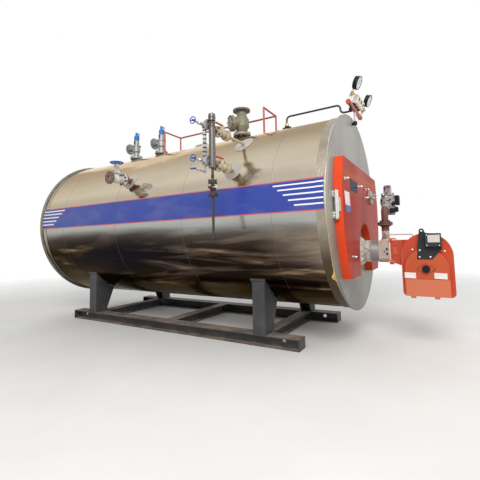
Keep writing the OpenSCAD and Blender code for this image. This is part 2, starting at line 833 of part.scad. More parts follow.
// Fan housing with a rim round each side and a neck that widens from the flange
module burner_housing() {
    neck_a = flange_side / 2 - lug_r;
    neck_wide = fan_half_w - 2 * rim_w;
    neck_end = housing_x + fan_r * 0.6;
    color("orangered") {
        side_extrude(-fan_half_w, 2 * fan_half_w) housing_profile(0);
        for (y = [-fan_half_w, fan_half_w - rim_w]) side_extrude(y, rim_w) housing_profile(rim_out);
        intersection() {
            side_extrude(-fan_half_w, 2 * fan_half_w)
                polygon([[neck_x, burner_z - neck_a], [neck_x, burner_z + neck_a],
                    [neck_end, burner_z + neck_a + 5], [neck_end, burner_z - neck_a - 80]]);
            translate([0, 0, burner_z - 2 * neck_a]) linear_extrude(4 * neck_a)
                polygon([[neck_x, -neck_a], [neck_x, neck_a], [housing_x + 30, neck_wide], [neck_end, neck_wide],
                    [neck_end, -neck_wide], [housing_x + 30, -neck_wide]]);
        }
        for (a = [-1, 1], b = [-1, 1])
            translate([neck_x, a * neck_a, burner_z + b * neck_a]) x_cyl(lug_r, flange_t);
    }
}

// Half of the side cover's cross section, from its middle outwards, with a rounded edge
module cover_section() {
    square([cover_r, cover_t - cover_round]);
    square([cover_r - cover_round, cover_t]);
    translate([cover_r - cover_round, cover_t - cover_round]) circle(r = cover_round);
}

// D shaped cover with a diamond boss, a fold below it and two lugs at its foot
module burner_cover() {
    color("tomato")
        translate([fan_x, cover_y, fan_z])
            difference() {
                union() {
                    rotate([90, 0, 0]) rotate_extrude(angle = 180) cover_section();
                    for (s = [0, 1]) mirror([s, 0, 0]) translate([0, 0, -fan_foot])
                        linear_extrude(fan_foot) mirror([0, 1]) cover_section();
                    rotate([90, 0, 0]) linear_extrude(cover_t + boss_t)
                        intersection() {
                            polygon([[-boss_w, 0], [0, -boss_h], [boss_w, 0], [0, boss_h]]);
                            circle(r = boss_w - 6);
                        }
                    for (x = [0, cover_lug_gap])
                        translate([x - cover_lug_gap * 0.61 - cover_lug_w / 2, -cover_t + 6, -fan_foot - cover_lug_h])
                            cube([cover_lug_w, cover_t - 12, cover_lug_h]);
                }
                translate([-cover_r - 1, -cover_t - 1, -fold_drop]) cube([2 * cover_r + 2, 3, 3]);
            }
}

module burner_cap() {
    color("black")
        translate([fan_x, cover_y - cover_t - boss_t - fit, fan_z]) {
            y_cyl(cap_r, cap_t * 0.6);
            y_cyl(cap_r - 5, cap_t);
        }
}

// Plate with a slanted foot and a round lug with a hole
module burner_bracket() {
    color("darkslategray")
        side_extrude(bracket_y - bracket_t, bracket_t)
            translate([bracket_x, fan_z + 97])
                difference() {
                    union() {
                        polygon([[0, 0], [135, 0], [bracket_w, 100], [bracket_w, 257], [92, 257], [74, 285],
                            [32, 285], [28, 262], [14, 150]]);
                        translate([53, 285]) circle(r = 24);
                    }
                    translate([53, 285]) circle(r = bracket_hole_r);
                }
}

// Servo box with a lid of its own and a shaft end
module burner_servo() {
    color("slategray")
        translate([bracket_x + bracket_w - servo_w, bracket_y - bracket_t - fit, fan_z + 222]) {
            translate([0, -servo_t + servo_lid_t, 0]) cube([servo_w, servo_t - servo_lid_t, servo_h]);
            translate([3, -servo_t, 3]) cube([servo_w - 6, servo_lid_t + 1, servo_h - 6]);
            translate([servo_w, -servo_t / 2, servo_h / 2]) x_cyl(12, 10);
        }
}

// Fan motor with a mounting ring, cooling ribs, an end bell and a terminal box
module burner_motor() {
    body = motor_len - motor_bell;
    color("dimgray")
        translate([fan_x, fan_half_w + fit, fan_z]) {
            rotate([-90, 0, 0]) {
                cylinder(r = motor_r + 12, h = 16);
                cylinder(r = motor_r - motor_rib_h, h = body);
                for (i = [0 : motor_ribs - 1]) rotate([0, 0, (i + 0.5) * 360 / motor_ribs])
                    translate([motor_r - 2 * motor_rib_h, -3, 10]) cube([2 * motor_rib_h - 2, 6, body]);
                translate([0, 0, body]) cylinder(r = motor_r, h = motor_bell - 14);
                translate([0, 0, body]) cylinder(r = motor_r - 14, h = motor_bell);
            }
            translate([-motor_r * 0.45, body * 0.25, motor_r - motor_rib_h - 8]) cube([motor_r * 0.9, body * 0.6, 66]);
        }
}

module skid_rail() {
    difference() {
        union() {
            translate([-rail_len / 2, 0, 0]) rotate([90, 0, 90]) linear_extrude(rail_len) beam_profile(rail_w);
            for (s = [-1, 1])
                translate([s * (rail_len / 2 - rail_web_t / 2) - rail_web_t / 2, -rail_w / 2, 0])
                    cube([rail_web_t, rail_w, rail_h]);
        }
        for (s = [-1, 1])
            translate([s * (rail_len / 2 - lift_in), rail_w / 2, rail_h / 2]) y_cyl(lift_r, rail_w);
    }
}

module skid_rails() {
    color("dimgray") for (s = [-1, 1]) translate([0, s * rail_y, 0]) skid_rail();
}

module skid_cross_beams() {
    color("dimgray")
        for (x = [-cross_x, 0, cross_x])
            translate([x, skid_w / 2 - rail_w - fit, 0])
                rotate([90, 0, 0]) linear_extrude(skid_w - 2 * rail_w - 2 * fit) beam_profile(cross_w);
}

// A leg on each rail, open towards the middle, under a curved pad that the shell rests on
module saddle(x) {
    for (s = [0, 1]) mirror([0, s, 0])
        difference() {
            union() {
                translate([x - leg_w / 2, skid_w / 2 - rail_w, rail_h + fit])
                    difference() {
                        cube([leg_w, leg_d, axis_z - rail_h - fit]);
                        translate([leg_t, -1, -1]) cube([leg_w - 2 * leg_t, leg_d - leg_t + 1, axis_z]);
                    }
                intersection() {
                    translate([x - leg_w / 2 - pad_t, 0, axis_z])
                        x_cyl(shell_r + fit + pad_t, leg_w + 2 * pad_t, $fn = 180);
                    translate([x - leg_w, skid_w / 2 - rail_w - pad_t, 0]) cube([2 * leg_w, leg_d + 2 * pad_t, axis_z]);
                }
            }
            shell_space(x, leg_w);
        }
}

module saddle_front() { color("dimgray") saddle(cross_x); }
module saddle_rear() { color("dimgray") saddle(-cross_x); }

module nozzle_rosettes() {
    color("silver") {
        intersection() {
            union() {
                translate([feed_x, 0, feed_z])
                    difference() {
                        y_cyl(rosette_r, 2 * shell_r);
                        y_cyl(feed_pipe_r + fit, 3 * shell_r);
                    }
                for (z = [column_lo_z, column_hi_z]) translate([column_x, 0, z])
                    difference() {
                        y_cyl(rosette_r, 2 * shell_r);
                        y_cyl(branch_r + fit, 3 * shell_r);
                    }
            }
            difference() {
                translate([-half_len, 0, axis_z]) x_cyl(shell_r + fit + rosette_t, shell_len, $fn = 180);
                translate([-half_len - 1, 0, axis_z]) x_cyl(shell_r + fit, shell_len + 2, $fn = 180);
            }
        }
    }
}

module steam_nozzle() {
    color("darkolivegreen") {
        difference() {
            translate([steam_x, 0, shell_top - 40]) cylinder(r = steam_pipe_r, h = 40 + steam_neck_h - steam_flange_t);
            translate([steam_x, 0, shell_top - 60]) cylinder(r = steam_bore_r, h = 200 + steam_neck_h);
            shell_space(steam_x, 2 * steam_pipe_r);
        }
        translate([steam_x, 0, steam_face_z - steam_flange_t])
            flange(steam_flange_r, steam_flange_t, steam_bore_r, steam_pcd, steam_hole_r);
    }
}

// Valve with a bulging body between necks and a bolted bonnet that looks to the near side
module steam_valve() {
    mid = steam_valve_h / 2;
    color("olivedrab")
        translate([steam_x, 0, steam_face_z + fit]) {
            flange(steam_flange_r, steam_flange_t, steam_bore_r, steam_pcd, steam_hole_r);
            translate([0, 0, steam_valve_h - steam_flange_t])
                flange(steam_flange_r, steam_flange_t, steam_bore_r, steam_pcd, steam_hole_r);
            difference() {
                union() {
                    rotate_extrude()
                        polygon([[0, steam_flange_t - 1], [steam_neck_r, steam_flange_t - 1], [steam_neck_r, 44],
                            [steam_body_r - 12, mid - 96], [steam_body_r, mid - 62], [steam_body_r, mid + 20],
                            [steam_body_r - 14, mid + 70], [steam_neck_r, mid + 118],
                            [steam_neck_r, 2 * mid - steam_flange_t + 1], [0, 2 * mid - steam_flange_t + 1]]);
                    for (k = [0 : steam_ribs - 1]) rotate([0, 0, bonnet_turn + (k + 0.5) * 360 / steam_ribs])
                        translate([steam_body_r - 20, -5, mid - 84]) cube([26, 10, 138]);
                    translate([0, 0, mid]) rotate([0, 0, bonnet_turn]) rotate([0, 90 + bonnet_tilt, 0]) {
                        cylinder(r = bonnet_r - 28, h = bonnet_out - bonnet_t);
                        translate([0, 0, bonnet_out - 3 * bonnet_t]) cylinder(r = bonnet_r, h = bonnet_t);
                        translate([0, 0, bonnet_out - 2 * bonnet_t + 2]) cylinder(r = bonnet_r, h = bonnet_t - 2);
                        translate([0, 0, bonnet_out - 2 * bonnet_t]) cylinder(r = bonnet_r - 8, h = bonnet_t);
                        translate([0, 0, bonnet_out - bonnet_t])
                            cylinder(r1 = bonnet_r - 30, r2 = bonnet_r - 50, h = bonnet_t);
                    }
                }
                translate([0, 0, -1]) cylinder(r = steam_bore_r, h = mid - 20);
                translate([0, 0, mid + 20]) cylinder(r = steam_bore_r, h = steam_valve_h);
            }
        }
}

module safety_nozzles() {
    color("darkgray")
        for (x = [safety_a_x, safety_b_x]) {
            difference() {
                translate([x, 0, shell_top - 30]) cylinder(r = safety_pipe_r, h = 30 + safety_neck_h - safety_flange_t);
                translate([x, 0, shell_top - 50]) cylinder(r = safety_pipe_r - nozzle_wall, h = 200 + safety_neck_h);
                shell_space(x, 2 * safety_pipe_r);
            }
            translate([x, 0, safety_face_z - safety_flange_t])
                flange(safety_flange_r, safety_flange_t, safety_pipe_r - nozzle_wall, safety_pcd, safety_hole_r);
        }
}

// Angle safety valve: waist, round body, side outlet, windowed spring bonnet and lever cap
module safety_valve(x) {
    shoulder = safety_body_h - window_h - 24;
    cap_z = safety_body_h + safety_cap_h;
    translate([x, 0, safety_face_z + fit]) {
        flange(safety_flange_r, safety_flange_t, safety_bore_r / 2, safety_pcd, safety_hole_r);
        difference() {
            rotate_extrude()
                polygon([[0, safety_flange_t - 1], [safety_waist_r + 12, safety_flange_t - 1],
                    [safety_waist_r + 12, safety_flange_t + 6], [safety_waist_r, safety_flange_t + 18],
                    [safety_waist_r, safety_out_h / 2], [safety_body_r, safety_out_h * 0.62],
                    [safety_body_r, shoulder - 30], [safety_body_r + 9, shoulder - 28], [safety_body_r + 9, shoulder - 10],
                    [safety_bonnet_r, shoulder], [safety_bonnet_r, safety_body_h - 6], [safety_cap_r, safety_body_h],
                    [safety_cap_r, safety_body_h + safety_cap_h * 0.5],
                    [safety_cap_r / 2, safety_body_h + safety_cap_h * 0.7], [safety_cap_r / 2, cap_z], [0, cap_z]]);
            for (s = [0, 1]) mirror([0, s, 0])
                translate([-window_w / 2, spring_r, shoulder + 10]) cube([window_w, safety_bonnet_r, window_h]);
        }
        translate([0, 0, safety_out_h]) rotate([0, -90, 0]) {
            cylinder(r = safety_bore_r + 8, h = safety_out_l - safety_flange_t + 1);
            translate([0, 0, safety_out_l - safety_flange_t])
                flange(safety_out_r, safety_flange_t, safety_bore_r, safety_pcd, safety_hole_r);
        }
        translate([0, -lever_t / 2, cap_z - 3 * lever_t]) cube([safety_body_r, lever_t, lever_t]);
        translate([safety_body_r - lever_t, -lever_t / 2, cap_z - 2 * lever_t - lever_l])
            cube([lever_t, lever_t, lever_l]);
    }
}

module safety_valve_front() { color("lightsteelblue") safety_valve(safety_a_x); }
module safety_valve_rear() { color("lightsteelblue") safety_valve(safety_b_x); }

module handrail() {
    rail_top_z = shell_top + hand_h;
    color("indianred") {
        difference() {
            for (x = [hand_front_x, hand_rear_x], s = [-1, 1])
                translate([x, s * hand_half_w, axis_z]) cylinder(r = hand_r, h = rail_top_z - axis_z);
            shell_space((hand_front_x + hand_rear_x) / 2, hand_front_x - hand_rear_x);
        }
        translate([hand_rear_x, hand_half_w, rail_top_z]) x_cyl(hand_r, hand_front_x - hand_rear_x);
        for (x = [hand_front_x, hand_rear_x]) {
            translate([x, hand_half_w, rail_top_z]) y_cyl(hand_r, 2 * hand_half_w);
            for (s = [-1, 1]) translate([x, s * hand_half_w, rail_top_z]) sphere(r = hand_r);
        }
    }
}

module feed_nozzle() {
    color("saddlebrown") {
        difference() {
            translate([feed_x, -side_y(feed_up) + 60, feed_z]) y_cyl(feed_pipe_r, feed_neck + 61 - feed_flange_t);
            translate([feed_x, 0, feed_z]) y_cyl(feed_bore_r, 2 * shell_r);
            shell_space(feed_x, 2 * feed_pipe_r);
        }
        translate([feed_x, feed_face_y + feed_flange_t, feed_z]) rotate([90, 0, 0])
            flange(feed_flange_r, feed_flange_t, feed_bore_r, feed_pcd, feed_hole_r);
    }
}

// Globe valve: body of revolution along the pipe, bonnet flange, open yoke and stem
module feed_valve() {
    mid = feed_valve_l / 2;
    color("beige")
        translate([feed_x, feed_face_y - fit, feed_z]) {
            rotate([90, 0, 0]) {
                flange(feed_flange_r, feed_flange_t, feed_bore_r, feed_pcd, feed_hole_r);
                translate([0, 0, feed_valve_l - feed_flange_t])
                    flange(feed_flange_r, feed_flange_t, feed_bore_r, feed_pcd, feed_hole_r);
                difference() {
                    translate([0, 0, feed_flange_t - 1])
                        rotate_extrude()
                            polygon([[0, 0], [feed_neck_r, 0], [feed_neck_r, 24],
                                [feed_body_r - 6, mid - feed_flange_t - 26], [feed_body_r - 6, mid - feed_flange_t + 28],
                                [feed_neck_r, 2 * mid - 2 * feed_flange_t - 22],
                                [feed_neck_r, 2 * mid - 2 * feed_flange_t + 2], [0, 2 * mid - 2 * feed_flange_t + 2]]);
                    translate([0, 0, -1]) cylinder(r = feed_bore_r, h = feed_valve_l / 3);
                    translate([0, 0, feed_valve_l * 2 / 3]) cylinder(r = feed_bore_r, h = feed_valve_l);
                }
            }
            translate([0, -mid, 0]) {
                sphere(r = feed_body_r);
                cylinder(r = feed_neck_r, h = feed_bonnet_h);
                translate([0, 0, feed_bonnet_h - 14]) cylinder(r = feed_bonnet_r, h = 13);
                translate([0, 0, feed_bonnet_h]) cylinder(r = feed_bonnet_r, h = 13);
                for (s = [-1, 1]) translate([s * yoke_w - 6, -12, feed_bonnet_h + 12]) cube([12, 24, yoke_h]);
                translate([-yoke_w - 6, -15, feed_bonnet_h + yoke_h]) cube([2 * yoke_w + 12, 30, 16]);
                cylinder(r = 2 * stem_r, h = feed_bonnet_h + 36);
                cylinder(r = stem_r, h = feed_wheel_h + 2 * stem_r);
            }
        }
}

module feed_handwheel() {
    color("royalblue")
        translate([feed_x, feed_face_y - fit - feed_valve_l / 2, feed_z + feed_wheel_h]) {
            rotate_extrude() translate([wheel_r - rim_r, 0]) circle(r = rim_r, $fn = 32);
            difference() {
                union() {
                    translate([0, 0, -rim_r]) cylinder(r = 2 * rim_r + 2, h = 2 * rim_r);
                    for (i = [0 : spokes - 1]) rotate([0, 0, i * 360 / spokes])
                        x_cyl(0.7 * rim_r, wheel_r - rim_r, $fn = 24);
                }
                translate([0, 0, -3 * rim_r]) cylinder(r = stem_r + fit, h = 6 * rim_r);
            }
        }
}

// Branch from the shell through its flanged valve to the column
module column_branch(up) {
    mid_y = (valve_near_y + valve_far_y) / 2;
    translate([column_x, 0, axis_z + up]) {
        difference() {
            translate([0, -side_y(up) + shell_wall, 0])
                y_cyl(branch_r, shell_wall - side_y(up) - column_y - column_r - fit);
            translate([-3 * branch_r, 0, -up]) x_cyl(shell_r + fit, 6 * branch_r, $fn = 180);
            translate([0, column_y, -3 * branch_r]) cylinder(r = column_r + fit, h = 6 * branch_r);
        }
        for (y = [valve_near_y, valve_near_y + branch_flange_t + fit, valve_far_y - branch_flange_t - fit, valve_far_y])
            translate([0, y, 0]) y_cyl(branch_flange_r, branch_flange_t);
        translate([0, valve_far_y - branch_flange_t, 0]) y_cyl(branch_r + 9, branch_valve_l - branch_flange_t);
        translate([0, mid_y, 0]) sphere(r = branch_body_r);
        translate([0, mid_y, 0]) cylinder(r = branch_r + 7, h = branch_stem_h - 2 * branch_lever_t);
        translate([0, mid_y, 0]) cylinder(r = branch_r - 9, h = branch_stem_h);
        translate([-branch_lever_t, mid_y + branch_r - branch_lever_l, branch_stem_h - branch_lever_t])
            cube([2 * branch_lever_t, branch_lever_l, branch_lever_t]);
    }
}

module column_upper_branch() { color("beige") column_branch(branch_hi); }
module column_lower_branch() { color("beige") column_branch(branch_lo); }

// Tube with a hexagonal neck and a round cap on top and a rimmed foot
module level_column() {
    neck_z = column_hi_z + column_over;
    color("lightgray")
        translate([column_x, column_y, 0]) {
            translate([0, 0, drain_z]) cylinder(r = column_r, h = neck_z - drain_z);
            translate([0, 0, drain_z]) cylinder(r = column_r + 7, h = 10);
            translate([0, 0, neck_z]) cylinder(r = column_neck_r, h = column_neck_h, $fn = 6);
            translate([0, 0, neck_z + column_neck_h]) cylinder(r = column_cap_r, h = column_cap_h);
        }
}

// Two flanged cocks with ring handles, the glass tube between them and its drain
module gauge_glass() {
    flange_x = glass_off / 2 - 5;
    body_r = 2 * glass_r;
    color("lightgray") {
        for (z = [glass_lo_z, glass_hi_z]) translate([glass_x, column_y, z]) {
            difference() {
                x_cyl(drain_r, glass_off);
                translate([glass_off, 0, -50]) cylinder(r = column_r + fit, h = 100);
            }
            for (x = [flange_x - glass_flange_t - 1, flange_x + 1])
                translate([x, 0, 0]) x_cyl(glass_flange_r, glass_flange_t);
            translate([0, 0, -body_r - 4]) cylinder(r = body_r, h = 2 * body_r + 8);
            y_cyl(1.6 * cock_stem_r, cock_len / 2, $fn = 6);
            y_cyl(cock_stem_r, cock_len);
            translate([0, -cock_len, 0]) rotate([90, 0, 0]) rotate_extrude()
                translate([cock_ring_r - cock_rim_r, 0]) circle(r = cock_rim_r, $fn = 32);
            translate([-cock_ring_r + cock_rim_r, -cock_len - 4, -4]) cube([2 * (cock_ring_r - cock_rim_r), 8, 8]);
        }
        translate([glass_x, column_y, glass_lo_z]) {
            cylinder(r = glass_r, h = glass_h);
            for (a = [45 : 90 : 315]) rotate([0, 0, a])
                translate([1.5 * glass_r, 0, 0]) cylinder(r = 3, h = glass_h, $fn = 24);
            translate([0, 0, -cock_drop - 1.5 * cock_stem_r]) cylinder(r = 1.5 * cock_stem_r, h = cock_drop);
            translate([0, 0, -cock_drop]) y_cyl(0.8 * cock_stem_r, cock_len);
            translate([-cock_bar_l / 2, -cock_len, -cock_drop]) x_cyl(cock_stem_r, cock_bar_l);
        }
    }
}

// Flanged drain valve under the column and its open pipe
module column_drain() {
    color("darkgray")
        translate([column_x, column_y, 0]) {
            translate([0, 0, drain_z - fit - drain_len]) cylinder(r = drain_r, h = drain_len);
            translate([0, 0, drain_z - drain_valve_drop / 2]) cylinder(r = drain_r + 5, h = 30, $fn = 6);
            for (s = [-1, 1], k = [0, 1])
                translate([0, 0, drain_z - drain_valve_drop - drain_flange_t / 2])
                    translate([0, 0, s * (drain_valve_half + k * (drain_flange_t + 1))])
                        cylinder(r = drain_flange_r, h = drain_flange_t);
            translate([0, 0, drain_z - drain_valve_drop - drain_valve_half])
                cylinder(r = drain_r + 6, h = 2 * drain_valve_half);
            translate([0, 0, drain_z - drain_valve_drop]) {
                sphere(r = drain_body_r);
                y_cyl(drain_r, 2 * drain_body_r);
                translate([-drain_r, -2 * drain_body_r, -drain_r / 2]) cube([4 * drain_r, 8, drain_r]);
            }
        }
}

// Frame of the manifold's axis, leaning forward
module on_manifold() {
    translate([manifold_x, 0, manifold_z]) rotate([0, gauge_tilt, 0]) children();
}

// Manifold bar with cocks under the gauges, stems under the switches and a leg to the end plate
module gauge_manifold() {
    gauge_y = manifold_len / 2 - gauge_in;
    color("indianred") {
        translate([manifold_x, manifold_len / 2, manifold_z]) y_cyl(manifold_r, manifold_len);
        on_manifold() {
            for (s = [-1, 1]) translate([0, s * gauge_y, 0]) {
                cylinder(r = stand_r, h = gauge_up - gauge_r - fit);
                translate([0, 0, gauge_up - gauge_r - 66]) cylinder(r = gauge_cock_r, h = 34, $fn = 6);
            }
            for (i = [-1 : 1]) translate([0, i * switch_pitch, 0]) cylinder(r = stand_r, h = switch_up);
        }
        translate([manifold_x, 0, manifold_z - leg_drop]) cylinder(r = leg_r, h = leg_drop);
        translate([half_len + fit, 0, manifold_z - leg_drop]) x_cyl(leg_r + 4, manifold_out + leg_r);
        translate([manifold_x, 0, manifold_z - leg_drop - leg_r]) cylinder(r = leg_r + 6, h = 2 * leg_r, $fn = 6);
    }
}

module pressure_gauges() {
    color("black")
        on_manifold() for (s = [-1, 1])
            translate([-gauge_t / 2 + gauge_out / 4, s * (manifold_len / 2 - gauge_in), gauge_up])
                difference() {
                    union() {
                        x_cyl(gauge_r - 4, gauge_t);
                        translate([gauge_t - 14, 0, 0]) x_cyl(gauge_r, 14);
                        translate([gauge_t / 2 - gauge_out / 4, 0, -gauge_r]) cylinder(r = gauge_cock_r - 4, h = 12);
                    }
                    translate([gauge_t - 6, 0, 0]) x_cyl(gauge_r - 6, 7);
                }
}

// Three switch boxes, each with a lid of its own
module pressure_switches() {
    color("ivory")
        on_manifold() for (i = [-1 : 1])
            translate([-switch_d / 3, i * switch_pitch - switch_w / 2, switch_up + fit]) {
                cube([switch_d - 16, switch_w, switch_h]);
                translate([0, 4, 4]) cube([switch_d, switch_w - 8, switch_h - 8]);
            }
}

// Thin pipe from a boss on the shell, over to the manifold
module impulse_pipe() {
    boss_h = impulse_h / 3;
    bend_r = 4 * impulse_r;
    top_z = shell_top + impulse_h;
    end_x = manifold_x - manifold_r - fit - impulse_x;
    color("black")
        translate([impulse_x, 0, 0]) {
            difference() {
                translate([0, 0, shell_top - shell_wall]) cylinder(r = 1.8 * impulse_r, h = boss_h);
                translate([-impulse_x, 0, 0]) shell_space(impulse_x, 6 * impulse_r);
            }
            translate([0, 0, shell_top + boss_h / 2]) cylinder(r = 2.4 * impulse_r, h = 2 * impulse_r, $fn = 6);
            translate([0, 0, shell_top + boss_h / 2]) cylinder(r = impulse_r, h = impulse_h - bend_r - boss_h / 2);
            translate([0, 0, top_z - bend_r]) bend(impulse_r, bend_r);
            translate([bend_r, 0, top_z]) x_cyl(impulse_r, end_x - 5 * bend_r);
            translate([end_x - 4 * bend_r, 0, top_z]) rotate([0, 90, 0]) bend(impulse_r, bend_r);
            translate([end_x - 3 * bend_r, 0, manifold_z + bend_r])
                cylinder(r = impulse_r, h = top_z - manifold_z - 2 * bend_r);
            translate([end_x - 2 * bend_r, 0, manifold_z]) rotate([0, -90, 0]) bend(impulse_r, bend_r);
            translate([end_x - 2 * bend_r, 0, manifold_z]) x_cyl(impulse_r, 2 * bend_r);
        }
}

// Ring on the shell, cover and two clamp bars with their studs
module manhole() {
    cover_z = shell_top + manhole_h - manhole_t;
    color("silver") {
        difference() {
            translate([manhole_x, 0, shell_top - 2 * manhole_t]) cylinder(r = manhole_r, h = manhole_h + manhole_t);
            shell_space(manhole_x, 2 * manhole_r);
        }
        translate([manhole_x, 0, cover_z]) cylinder(r = manhole_r - 16, h = manhole_t);
        for (s = [-1, 1]) translate([manhole_x + s * manhole_r / 2, 0, cover_z + manhole_t]) {
            translate([-yoke_bar_w / 2, -manhole_r / 2 - 14, 0]) cube([yoke_bar_w, manhole_r + 28, 12]);
            cylinder(r = yoke_bar_w / 4, h = 24);
        }
    }
}

// Round door with a raised middle, clamps round its edge and a pair of hinge arms
module rear_door() {
    color("orangered")
        translate([-half_len - fit, 0, burner_z]) rotate([0, -90, 0]) {
            cylinder(r = rear_door_r, h = rear_door_t / 2);
            cylinder(r1 = rear_dish_r + rear_door_t / 2, r2 = rear_dish_r, h = rear_door_t);
            for (i = [0 : clamps - 1]) rotate([0, 0, (i + 0.5) * 360 / clamps])
                translate([rear_door_r - 1.5 * clamp_w, -clamp_w / 2, 0]) {
                    cube([1.5 * clamp_w, clamp_w, rear_door_t / 2 + 10]);
                    translate([0.5 * clamp_w, clamp_w / 2, 0]) cylinder(r = clamp_w / 4, h = rear_door_t / 2 + 26);
                }
            for (s = [-1, 1])
                translate([s * rear_door_r / 3 - 15, 0, 0]) cube([30, rear_door_r + 50, rear_door_t / 2 + 16]);
            translate([-rear_door_r / 2, rear_door_r + 42, rear_door_t / 2 + 4]) x_cyl(16, rear_door_r);
        }
}

module flue_outlet() {
    color("darkgray")
        translate([-half_len - fit - flue_len, 0, axis_z + flue_up]) {
            rotate([0, 90, 0]) flange(flue_flange_r, flue_flange_t, flue_r - flue_wall, flue_pcd, flue_hole_r, 12);
            difference() {
                translate([flue_flange_t - 1, 0, 0]) x_cyl(flue_r, flue_len - flue_flange_t + 1);
                translate([-1, 0, 0]) x_cyl(flue_r - flue_wall, flue_len + 2);
            }
        }
}

shell_cladding();
end_bands();
front_plate();
rear_plate();
smokebox_door();
door_hinges();
inspection_hatch();
burner_mount_plate();
burner_throat();
burner_head();
gas_inlet();
gas_valve();
burner_flange();
burner_housing();
burner_cover();
burner_cap();
burner_bracket();
burner_servo();
burner_motor();
skid_rails();
skid_cross_beams();
saddle_front();
saddle_rear();
nozzle_rosettes();
steam_nozzle();
steam_valve();
safety_nozzles();
safety_valve_front();
safety_valve_rear();
handrail();
feed_nozzle();
feed_valve();
feed_handwheel();
column_upper_branch();
column_lower_branch();
level_column();
gauge_glass();
column_drain();
gauge_manifold();
pressure_gauges();
pressure_switches();
impulse_pipe();
manhole();
rear_door();
flue_outlet();
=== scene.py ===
# %% [markdown]
# A packaged steam boiler, dressed for its picture
#
# The solids come in as a fixed frame, in place and in metres. This lesson gives
# each a finish and adds what solids leave out: nuts, the belt, plates and dials.

# %% load the frame
import json
from math import cos, exp, radians, sin, sqrt, tau
import bpy
from mathutils import Matrix, Vector


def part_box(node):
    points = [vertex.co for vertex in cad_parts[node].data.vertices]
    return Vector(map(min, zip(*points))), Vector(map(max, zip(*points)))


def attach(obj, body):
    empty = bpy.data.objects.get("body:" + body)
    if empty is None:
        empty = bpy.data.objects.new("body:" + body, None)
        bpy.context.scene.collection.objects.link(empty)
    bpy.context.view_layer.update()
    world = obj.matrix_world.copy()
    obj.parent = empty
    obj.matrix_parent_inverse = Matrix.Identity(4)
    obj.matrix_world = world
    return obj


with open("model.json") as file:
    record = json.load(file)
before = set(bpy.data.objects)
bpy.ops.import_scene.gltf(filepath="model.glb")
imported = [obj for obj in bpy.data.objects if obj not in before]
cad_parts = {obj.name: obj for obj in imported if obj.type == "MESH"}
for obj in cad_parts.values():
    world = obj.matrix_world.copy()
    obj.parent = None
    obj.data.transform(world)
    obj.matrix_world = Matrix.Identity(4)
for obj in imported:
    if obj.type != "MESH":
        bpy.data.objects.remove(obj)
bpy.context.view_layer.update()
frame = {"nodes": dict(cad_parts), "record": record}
NODES = frame["nodes"]

# %% [markdown]
# The camera
#
# Measured numbers put the camera near the burner end, low, looking along the
# shell. A wide lens makes the burner large and the far end small, and a little
# shift moves the picture without tilting the camera.

# %% camera
YAW, PITCH, ROLL = -0.542, 0.084, -0.022
EYE = (3.2266, -4.1448, 1.1223)
SENSOR = 36
FOCAL, SHIFT = 340.473 / 480, -26 / 480  # shares of the picture's width

forward = Vector((sin(YAW) * cos(PITCH), cos(YAW) * cos(PITCH), sin(PITCH)))
level_right = Vector((cos(YAW), -sin(YAW), 0))
level_up = level_right.cross(forward)
right = cos(ROLL) * level_right + sin(ROLL) * level_up
up = -sin(ROLL) * level_right + cos(ROLL) * level_up
lens = bpy.data.cameras.new("camera")
camera = bpy.data.objects.new("camera", lens)
bpy.context.scene.collection.objects.link(camera)
camera.matrix_world = Matrix((right, up, -forward)).transposed().to_4x4()
camera.location = EYE
lens.sensor_width = SENSOR
lens.lens = FOCAL * SENSOR
lens.shift_y = SHIFT
lens.clip_end = 200
bpy.context.scene.camera = camera
print("camera: lens", round(lens.lens, 2), "mm")

# %% [markdown]
# Sockets that can be added up
#
# A shader reads better as an expression than as a list of links. Socket wraps one
# output and turns +, -, * and / into Math nodes, reflected forms too, so that
# 1 - mask works. Finish wraps one material: node makes any other node, and
# surface fills the shader and keeps the material under its name in FINISH.

# %% socket and finish
FINISH = {}


class Socket:
    def __init__(self, finish, output):
        self.finish, self.output = finish, output

    def math(self, operation, a, b):
        return self.finish.node("ShaderNodeMath", {"operation": operation}, {0: a, 1: b})

    def __add__(self, other): return self.math("ADD", self, other)
    def __radd__(self, other): return self.math("ADD", other, self)
    def __sub__(self, other): return self.math("SUBTRACT", self, other)
    def __rsub__(self, other): return self.math("SUBTRACT", other, self)
    def __mul__(self, other): return self.math("MULTIPLY", self, other)
    def __rmul__(self, other): return self.math("MULTIPLY", other, self)
    def __truediv__(self, other): return self.math("DIVIDE", self, other)
    def __rtruediv__(self, other): return self.math("DIVIDE", other, self)


